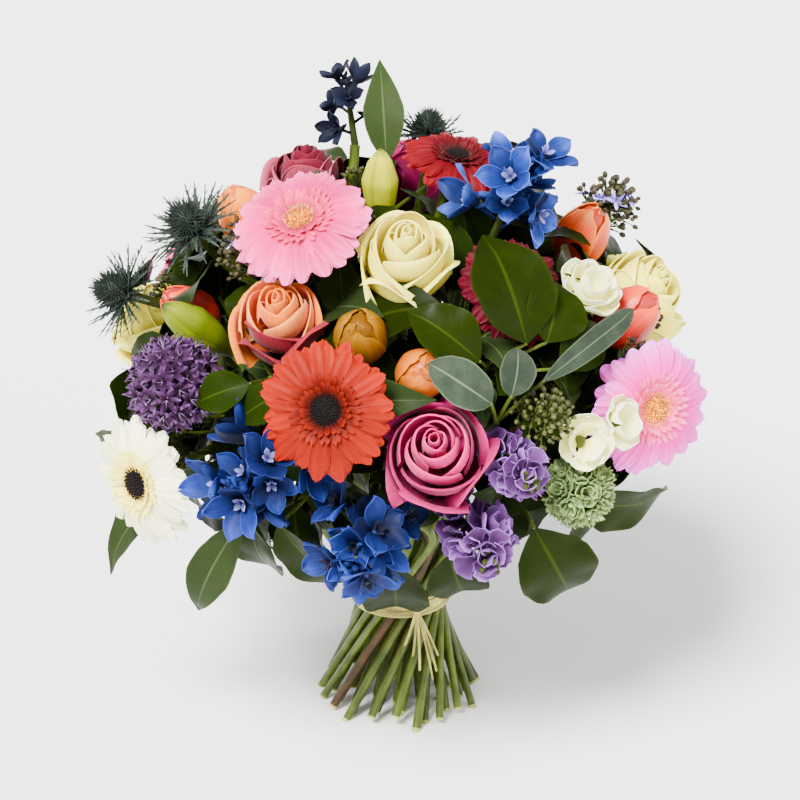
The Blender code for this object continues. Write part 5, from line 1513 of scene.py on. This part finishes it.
def filler_leaves(bodies):
    """Leaves between and behind the blooms, where no bloom is in the way, and a collar of leaves that hangs
    round the stems, in four pieces."""
    balls = ball_rows(bodies)
    hearts = ball_rows(bodies, 0.55)
    count = sizes().filler
    draw = random.Random(71).random
    heaps = [Cluster(f"filler_leaves_{number + 1}", kind, (), None, sizes().leaf)
             for number, kind in enumerate(FILLER_KINDS)]
    made = tried = 0
    while made < count and tried < FILLER_TRIES:
        tried += 1
        collar = COLLAR_FROM * count <= made < BACKING_FROM * count
        backing = made >= BACKING_FROM * count
        turn = draw() * 360.0
        fall = 112.0 + 20.0 * draw() if collar else 10.0 + 115.0 * draw() ** 0.8
        lift = -0.052 + 0.030 * draw() if collar else -0.010 - 0.034 * draw()
        if backing:
            fall, lift = 6.0 + 112.0 * draw() ** 0.8, -0.076 + 0.036 * draw()
        if made >= count - len(GAP_LEAVES):
            turn, fall, lift = GAP_LEAVES[count - made - 1]
        long = 0.042 + 0.030 * draw()
        swing = (draw() - 0.5) * (1.0 if collar else 2.0)
        knee, out_a = on_dome(turn, fall, lift - 0.012)
        step = math.degrees(long / DOME_RADIUS)
        down = 1 if collar or draw() < 0.6 else -1
        tip, out_b = on_dome(turn + step * swing / max(0.5, math.sin(math.radians(fall))),
                             fall + step * (1.0 - abs(swing)) * down, min(lift + 0.018, -0.004))
        heap = heaps[made % len(heaps)]
        spots = [knee.lerp(tip, share) for share in (0.3, 0.6, 0.95)]
        if (tip - knee).length < 0.03 or not clear_of(hearts if backing else balls, spots, 0.002):
            continue
        start = knee - out_a * 0.03 - above(-0.01 if collar else 0.015)
        width = long * (0.45 if heap.slot == "ruscus" else 0.60)
        # Filler leaves take a lower tone than the leaves of the branches, 0.02 to 0.44 against 0.3 to 0.8.
        # This is painted shade for the leaves that sit between, behind and under the blooms.
        leaf(heap, start, knee, tip, width, out_a + out_b, heap.slot, 0.02 + 0.42 * draw(), draw, (6, 10))
        made += 1
    for heap in heaps:
        heap.finished()


# The sprays of buds between the blooms, how often a place for one is tried, and the buds on each.
SPRAYS = 34
SPRAY_TRIES = 4000
SPRAY_BUDS = 22


def filler_buds(bodies):
    """Clusters of small buds on thin twigs that stand in the gaps between the blooms."""
    balls = ball_rows(bodies)
    draw = random.Random(23).random
    sprays = [Cluster(f"filler_buds_{slot}", slot, (), None, 0.0004) for slot in ("moss", "wax")]
    made = tried = 0
    while made < SPRAYS and tried < SPRAY_TRIES:
        tried += 1
        turn, fall = draw() * 360.0, 14.0 + 92.0 * draw()
        top, out = on_dome(turn, fall, -0.012 + 0.012 * draw())
        if not clear_of(balls, [top, top - out * 0.012], 0.006):
            continue
        spray = sprays[made % 2]
        foot = top - out * 0.045 - above(0.02)
        spray.tube([foot, foot.lerp(top, 0.6), top - out * 0.006], (0.0012, 0.0010, 0.0007), "calyx_green", 5,
                   0.2)
        place = facing(top, out)
        for bud in range(SPRAY_BUDS):
            spread = 0.010 * math.sqrt((bud + 0.5) / SPRAY_BUDS)
            spot = place @ spoke(bud * GOLDEN_TURN, spread, -28.0 * spread * spread + 0.003 * draw())
            root = top - out * (0.008 + 0.3 * spread)
            spray.tube([root, spot], (0.00045, 0.00035), "calyx_green", 3, 0.3)
            fat = 0.0010 + 0.0006 * draw()
            spray.stamp("bead", spot, spot - root, (fat, fat, 1.4 * fat), "buds_" + spray.slot,
                        0.1 + 0.8 * draw())
        made += 1
    for spray in sprays:
        spray.finished()


# Stems and the raffia tie. Where there is room, a stem's corner starts to bend this far from its point.
CORNER = 0.016


def eased(course):
    """The course of a stem with its corners rounded."""
    points = [course[0]]
    for before, corner, after in zip(course, course[1:], course[2:]):
        back, on = before - corner, after - corner
        first = corner + back.normalized() * min(CORNER, 0.42 * back.length)
        last = corner + on.normalized() * min(CORNER, 0.42 * on.length)
        for step in range(5):
            share = step / 4.0
            points.append(first.lerp(corner, share).lerp(corner.lerp(last, share), share))
    points.append(course[-1])
    return points


def stems(courses, groups):
    """Round stems of uneven thickness along their courses, with paler cut ends."""
    thickest = sizes().stem
    draw = random.Random(5).random
    for number, names in sorted(groups.items()):
        node = f"stems_{number + 1}"
        bundle = Cluster(node + "_stalks", "stem", (node,))
        for name in names:
            course = eased(courses[name])
            radius = thickest * (0.80 + 0.20 * draw())
            skin = "stem_woody" if draw() < 0.04 else "stem_skin"
            radii = [radius * (1.0 + 0.04 * math.sin(3.0 * step)) for step in range(len(course) - 1)]
            level = course[0].z < 1e-6
            bundle.tube(course, radii + [thickest * 1.15], skin, 10, 0.25 + 0.65 * draw(), level)
            way = (course[1] - course[0]).normalized()
            rim = [course[0] - way * 0.0004, course[0] + way * 0.0012]
            if level:
                rim = [course[0] + above(0.00001), course[0] + way * 0.0016]
            bundle.tube(rim, radius * 1.03, "stem_cut", 10, 0.5, level)
        bundle.finished()


def ribbon(cluster, path, wide, flat_way, tone, count=40):
    """A strand of raffia along path(share), its width along flat_way."""
    def shape(across, up):
        points = np.array([list(path(share)) for share in up])
        crease = 0.25 * wide * np.abs(across)
        ways = np.array([list(flat_way(share)) for share in up])
        outward = points * (1.0, 1.0, 0.0)
        outward /= np.maximum(np.linalg.norm(outward, axis=1, keepdims=True), 1e-9)
        return points + ways * (across * wide / 2.0)[:, None] - outward * crease[:, None]
    cluster.sheet((2, count), shape, "raffia_fibre", tone)


# Strands of raffia round the stems and round the knot, and for each loose end its turn and how far it drops.
LOOPS = 11
WRAPS = 7
KNOT_TURN = 18
LOOSE_ENDS = ((26, 0.036), (10, 0.026), (30, 0.028), (14, 0.034), (22, 0.040), (4, 0.020))


def tie():
    """Strands of raffia wound round the stems, a knot, and ends that hang from it."""
    wide = sizes().raffia
    draw = random.Random(9).random
    band = Cluster("raffia_tie_strands", "raffia", ("raffia_tie",), None, 0.0004)
    edge = 2.0 * RAFFIA_RISE * math.tan(math.radians(RING_LEANS[-1]))
    around = math.hypot((len(RING_LEANS) - 1) * STEM_PITCH, edge) + STEM_RADIUS + RAFFIA_GAP
    for strand in range(LOOPS):
        low = TIE_HEIGHT + (-2.0 + 0.4 * strand) * RAFFIA_RISE
        start, slope, swell = draw() * 6.3, 0.0022 * (draw() - 0.5), 0.0004 + 0.0012 * draw()
        phase = draw() * 6.0

        def loop(share, low=low, start=start, slope=slope, swell=swell, phase=phase):
            turn = start + share * CIRCLE * 1.02
            out = around + swell + 0.0005 * math.sin(3.0 * turn + phase)
            height = low + slope * math.sin(turn) + 0.0006 * math.sin(2.0 * turn + phase)
            return Vector((out * math.sin(turn), -out * math.cos(turn), height))

        ribbon(band, loop, wide * (0.8 + 0.5 * draw()), lambda share: (0, 0, 1), 0.2 + 0.7 * draw())
    knot = along(KNOT_TURN, 0) * (around + 0.0032) + above(TIE_HEIGHT)
    out_way, side_way = along(KNOT_TURN, 0), along(KNOT_TURN + 90, 0)
    for strand in range(WRAPS):
        tilt = strand * 0.45 - 1.3
        fat = 0.0034 - 0.0002 * strand

        def wrap(share, tilt=tilt, fat=fat):
            turn = share * CIRCLE
            up_way = side_way * math.sin(tilt) + above(math.cos(tilt))
            ring = out_way * math.cos(turn) + up_way * math.sin(turn)
            return knot + ring * fat

        def over(share, tilt=tilt):
            return side_way * math.cos(tilt) - above(math.sin(tilt))

        ribbon(band, wrap, wide, over, 0.3 + 0.6 * draw(), 18)
    for turn, drop in LOOSE_ENDS:
        low = along(turn, 0) * (around + drop * 0.62) + above(TIE_HEIGHT - drop)
        middle = knot.lerp(low, 0.5) + along(turn, 0) * 0.004

        def tail(share, low=low, middle=middle):
            return knot.lerp(middle, share).lerp(middle.lerp(low, share), share)

        ribbon(band, tail, wide * (0.7 + 0.4 * draw()),
               lambda share, turn=turn: along(turn + 90 + 40 * share, 0), 0.3 + 0.6 * draw(), 12)
    return band.finished()


# Operators, one for each group of like pieces and one for the stage, and the panel that lists them.


def make_blooms(**makers):
    """Makes all the blooms of each kind that is given with its maker."""
    for kind, maker in makers.items():
        rows = [row for row in BLOOMS if row[1] == kind]
        if not rows:
            raise RuntimeError(f"no bloom of the kind {kind}")
        for row in rows:
            name, _, slot, *_, width = row
            face, axis, _ = bloom_place(row)
            bloom = Cluster(name + "_bloom", slot, (name,), facing(face, axis), THIN_PETALS.get(kind))
            maker(bloom, random.Random(name).random, width, width * DEPTHS[kind])
            bloom.finished()
    return {"FINISHED"}


class BOUQUET_OT_materials(bpy.types.Operator):
    """Make the skins of petals, leaves, stems and raffia"""
    bl_idname = "bouquet.materials"
    bl_label = "Materials"

    def execute(self, context):
        colours = context.scene.bouquet_colours
        for maker in (gerbera_petals, rose_petals, satin_petals, floret_petals, green_skins):
            maker(colours)
        return {"FINISHED"}


class BOUQUET_OT_gerberas(bpy.types.Operator):
    """Make the gerberas"""
    bl_idname = "bouquet.gerberas"
    bl_label = "Gerberas"

    def execute(self, context):
        return make_blooms(gerbera=gerbera)


class BOUQUET_OT_roses(bpy.types.Operator):
    """Make the roses"""
    bl_idname = "bouquet.roses"
    bl_label = "Roses"

    def execute(self, context):
        return make_blooms(rose=rose)


class BOUQUET_OT_tulips(bpy.types.Operator):
    """Make the tulips and the lily buds"""
    bl_idname = "bouquet.tulips"
    bl_label = "Tulips and lily buds"

    def execute(self, context):
        return make_blooms(tulip=tulip, lily=lily)


class BOUQUET_OT_white_cups(bpy.types.Operator):
    """Make the small white blooms"""
    bl_idname = "bouquet.white_cups"
    bl_label = "White cups"

    def execute(self, context):
        return make_blooms(lisianthus=lisianthus, pea=pea)


class BOUQUET_OT_thistles(bpy.types.Operator):
    """Make the thistles and the alliums"""
    bl_idname = "bouquet.thistles"
    bl_label = "Thistles and alliums"

    def execute(self, context):
        return make_blooms(thistle=thistle, allium=allium)


class BOUQUET_OT_spires(bpy.types.Operator):
    """Make the spires of delphinium and stock"""
    bl_idname = "bouquet.spires"
    bl_label = "Spires"

    def execute(self, context):
        return make_blooms(delphinium=delphinium, stock=stock)


class BOUQUET_OT_sprays(bpy.types.Operator):
    """Make the green florets and the sprays of buds"""
    bl_idname = "bouquet.sprays"
    bl_label = "Sprays"

    def execute(self, context):
        return make_blooms(snowball=snowball, sprig=sprig)


class BOUQUET_OT_branches(bpy.types.Operator):
    """Make the leafy branches"""
    bl_idname = "bouquet.branches"
    bl_label = "Branches"

    def execute(self, context):
        for row in BRANCHES:
            branch(row)
        return {"FINISHED"}


class BOUQUET_OT_stems(bpy.types.Operator):
    """Make the stems, and the leaves that fill the gaps between the blooms"""
    bl_idname = "bouquet.stems"
    bl_label = "Stems and filler"

    def execute(self, context):
        courses, groups, bodies = stem_courses()
        stems(courses, groups)
        filler_leaves(bodies)
        filler_buds(bodies)
        return {"FINISHED"}


class BOUQUET_OT_tie(bpy.types.Operator):
    """Make the raffia"""
    bl_idname = "bouquet.tie"
    bl_label = "Raffia tie"

    def execute(self, context):
        tie()
        return {"FINISHED"}


# How far the camera looks down, in degrees, its distance, the half width that it sees there and how far
# below the middle of the dome it looks. Then the floor and the sweep at its rim.
VIEW_FALL = 25.0
VIEW_FAR = 1.9
VIEW_HALF = 0.25
VIEW_SHIFT = 0.025
FLOOR_RADIUS = 6.0
SWEEP_RADIUS = 1.6
SWEEP_STEPS = 12

# The lamps: name, the side they shine from, how wide they look in degrees, and strength.
LAMPS = (("key", (-0.9, -1.6, 2.3), 22.0, 14.0), ("fill", (1.6, -0.9, 0.9), 50.0, 2.6))


def aimed(name, data, spot, way):
    """A lamp or a camera at a spot, turned to look along a way."""
    made = bpy.data.objects.new(name, data)
    made.location = spot
    made.rotation_euler = way.to_track_quat("-Z", "Y").to_euler()
    bpy.context.scene.collection.objects.link(made)
    return made


class BOUQUET_OT_stage(bpy.types.Operator):
    """Make the floor, the lights and the camera"""
    bl_idname = "bouquet.stage"
    bl_label = "Stage"

    def execute(self, context):
        bpy.ops.object.select_all(action="DESELECT")
        bpy.ops.mesh.primitive_circle_add(vertices=96, radius=FLOOR_RADIUS, fill_type="NGON")
        floor = context.object
        floor.name = floor.data.name = "floor"
        bpy.ops.object.mode_set(mode="EDIT")
        bpy.ops.mesh.select_mode(type="EDGE")
        bpy.ops.mesh.select_all(action="SELECT")
        bpy.ops.mesh.region_to_loop()
        reach = FLOOR_RADIUS
        for step in range(1, SWEEP_STEPS + 1):
            rise = QUARTER * step / SWEEP_STEPS
            before = rise - QUARTER / SWEEP_STEPS
            climb = SWEEP_RADIUS * (math.cos(before) - math.cos(rise))
            grown = FLOOR_RADIUS + SWEEP_RADIUS * math.sin(rise)
            bpy.ops.mesh.extrude_edges_move(TRANSFORM_OT_translate={"value": (0.0, 0.0, climb)})
            bpy.ops.transform.resize(value=(grown / reach, grown / reach, 1.0))
            reach = grown
        bpy.ops.mesh.select_all(action="SELECT")
        bpy.ops.mesh.normals_make_consistent(inside=False)
        bpy.ops.object.mode_set(mode="OBJECT")
        bpy.ops.object.shade_smooth()
        # Matt studio paper, near white, with a faint grain 3 mm wide.
        tree, place, *_ = started("studio_paper")
        speck = add_node(tree, "TexNoise", {0: place.outputs["Object"], "Scale": 300.0})
        share = add_node(tree, "MapRange", {0: speck, 1: 0.3, 2: 0.7}, **SMOOTH)
        painted = add_node(tree, "Mix", {0: share, 6: "f4f4f3", 7: "f7f7f6"}, **COLOUR)
        feed(tree, tree.nodes["Principled BSDF"], {"Base Color": painted, "Roughness": 0.9})
        floor.data.materials.append(bpy.data.materials["studio_paper"])
        world = context.scene.world or bpy.data.worlds.new("studio")
        context.scene.world = world
        world.use_nodes = True
        feed(world.node_tree, world.node_tree.nodes["Background"], {"Color": "ffffff", "Strength": 1.0})
        for name, spot, soft, power in LAMPS:
            lamp = bpy.data.lights.new(name, "SUN")
            lamp.angle, lamp.energy = math.radians(soft), power
            aimed(name, lamp, Vector(spot), -Vector(spot))
        fall = math.radians(VIEW_FALL)
        way = Vector((0.0, math.cos(fall), -math.sin(fall)))
        up = Vector((0.0, math.sin(fall), math.cos(fall)))
        target = above(DOME_CENTRE) - up * VIEW_SHIFT + Vector(TIE_PLACE)
        view = bpy.data.cameras.new("view")
        view.angle = 2.0 * math.atan(VIEW_HALF / VIEW_FAR)
        context.scene.camera = aimed("view", view, target - way * VIEW_FAR, way)
        return {"FINISHED"}


class BOUQUET_PT_panel(bpy.types.Panel):
    """The bouquet's makers, sizes and colours"""
    bl_idname = "BOUQUET_PT_panel"
    bl_label = "Bouquet"
    bl_space_type = "VIEW_3D"
    bl_region_type = "UI"
    bl_category = "Bouquet"

    def draw(self, context):
        for maker in MAKERS:
            self.layout.operator(maker.bl_idname)
        for group in (context.scene.bouquet_sizes, context.scene.bouquet_colours):
            for name in group.__annotations__:
                self.layout.prop(group, name)


MAKERS = (BOUQUET_OT_materials, BOUQUET_OT_stage, BOUQUET_OT_gerberas, BOUQUET_OT_roses, BOUQUET_OT_tulips,
          BOUQUET_OT_white_cups, BOUQUET_OT_thistles, BOUQUET_OT_spires, BOUQUET_OT_sprays,
          BOUQUET_OT_branches, BOUQUET_OT_stems, BOUQUET_OT_tie)
CLASSES = (BouquetSizes, BouquetColours, *MAKERS, BOUQUET_PT_panel)


def register():
    """Registers the classes, and hangs the sizes and colours on the scene."""
    for each in CLASSES:
        bpy.utils.register_class(each)
    bpy.types.Scene.bouquet_sizes = PointerProperty(type=BouquetSizes)
    bpy.types.Scene.bouquet_colours = PointerProperty(type=BouquetColours)


def unregister():
    """Takes back what register does."""
    del bpy.types.Scene.bouquet_colours
    del bpy.types.Scene.bouquet_sizes
    for each in reversed(CLASSES):
        bpy.utils.unregister_class(each)


def main():
    """Makes the whole bouquet and its stage."""
    register()
    bpy.ops.object.select_all(action="DESELECT")
    for maker in MAKERS:
        group, name = maker.bl_idname.split(".")
        getattr(getattr(bpy.ops, group), name)()


if __name__ == "__main__":
    main()
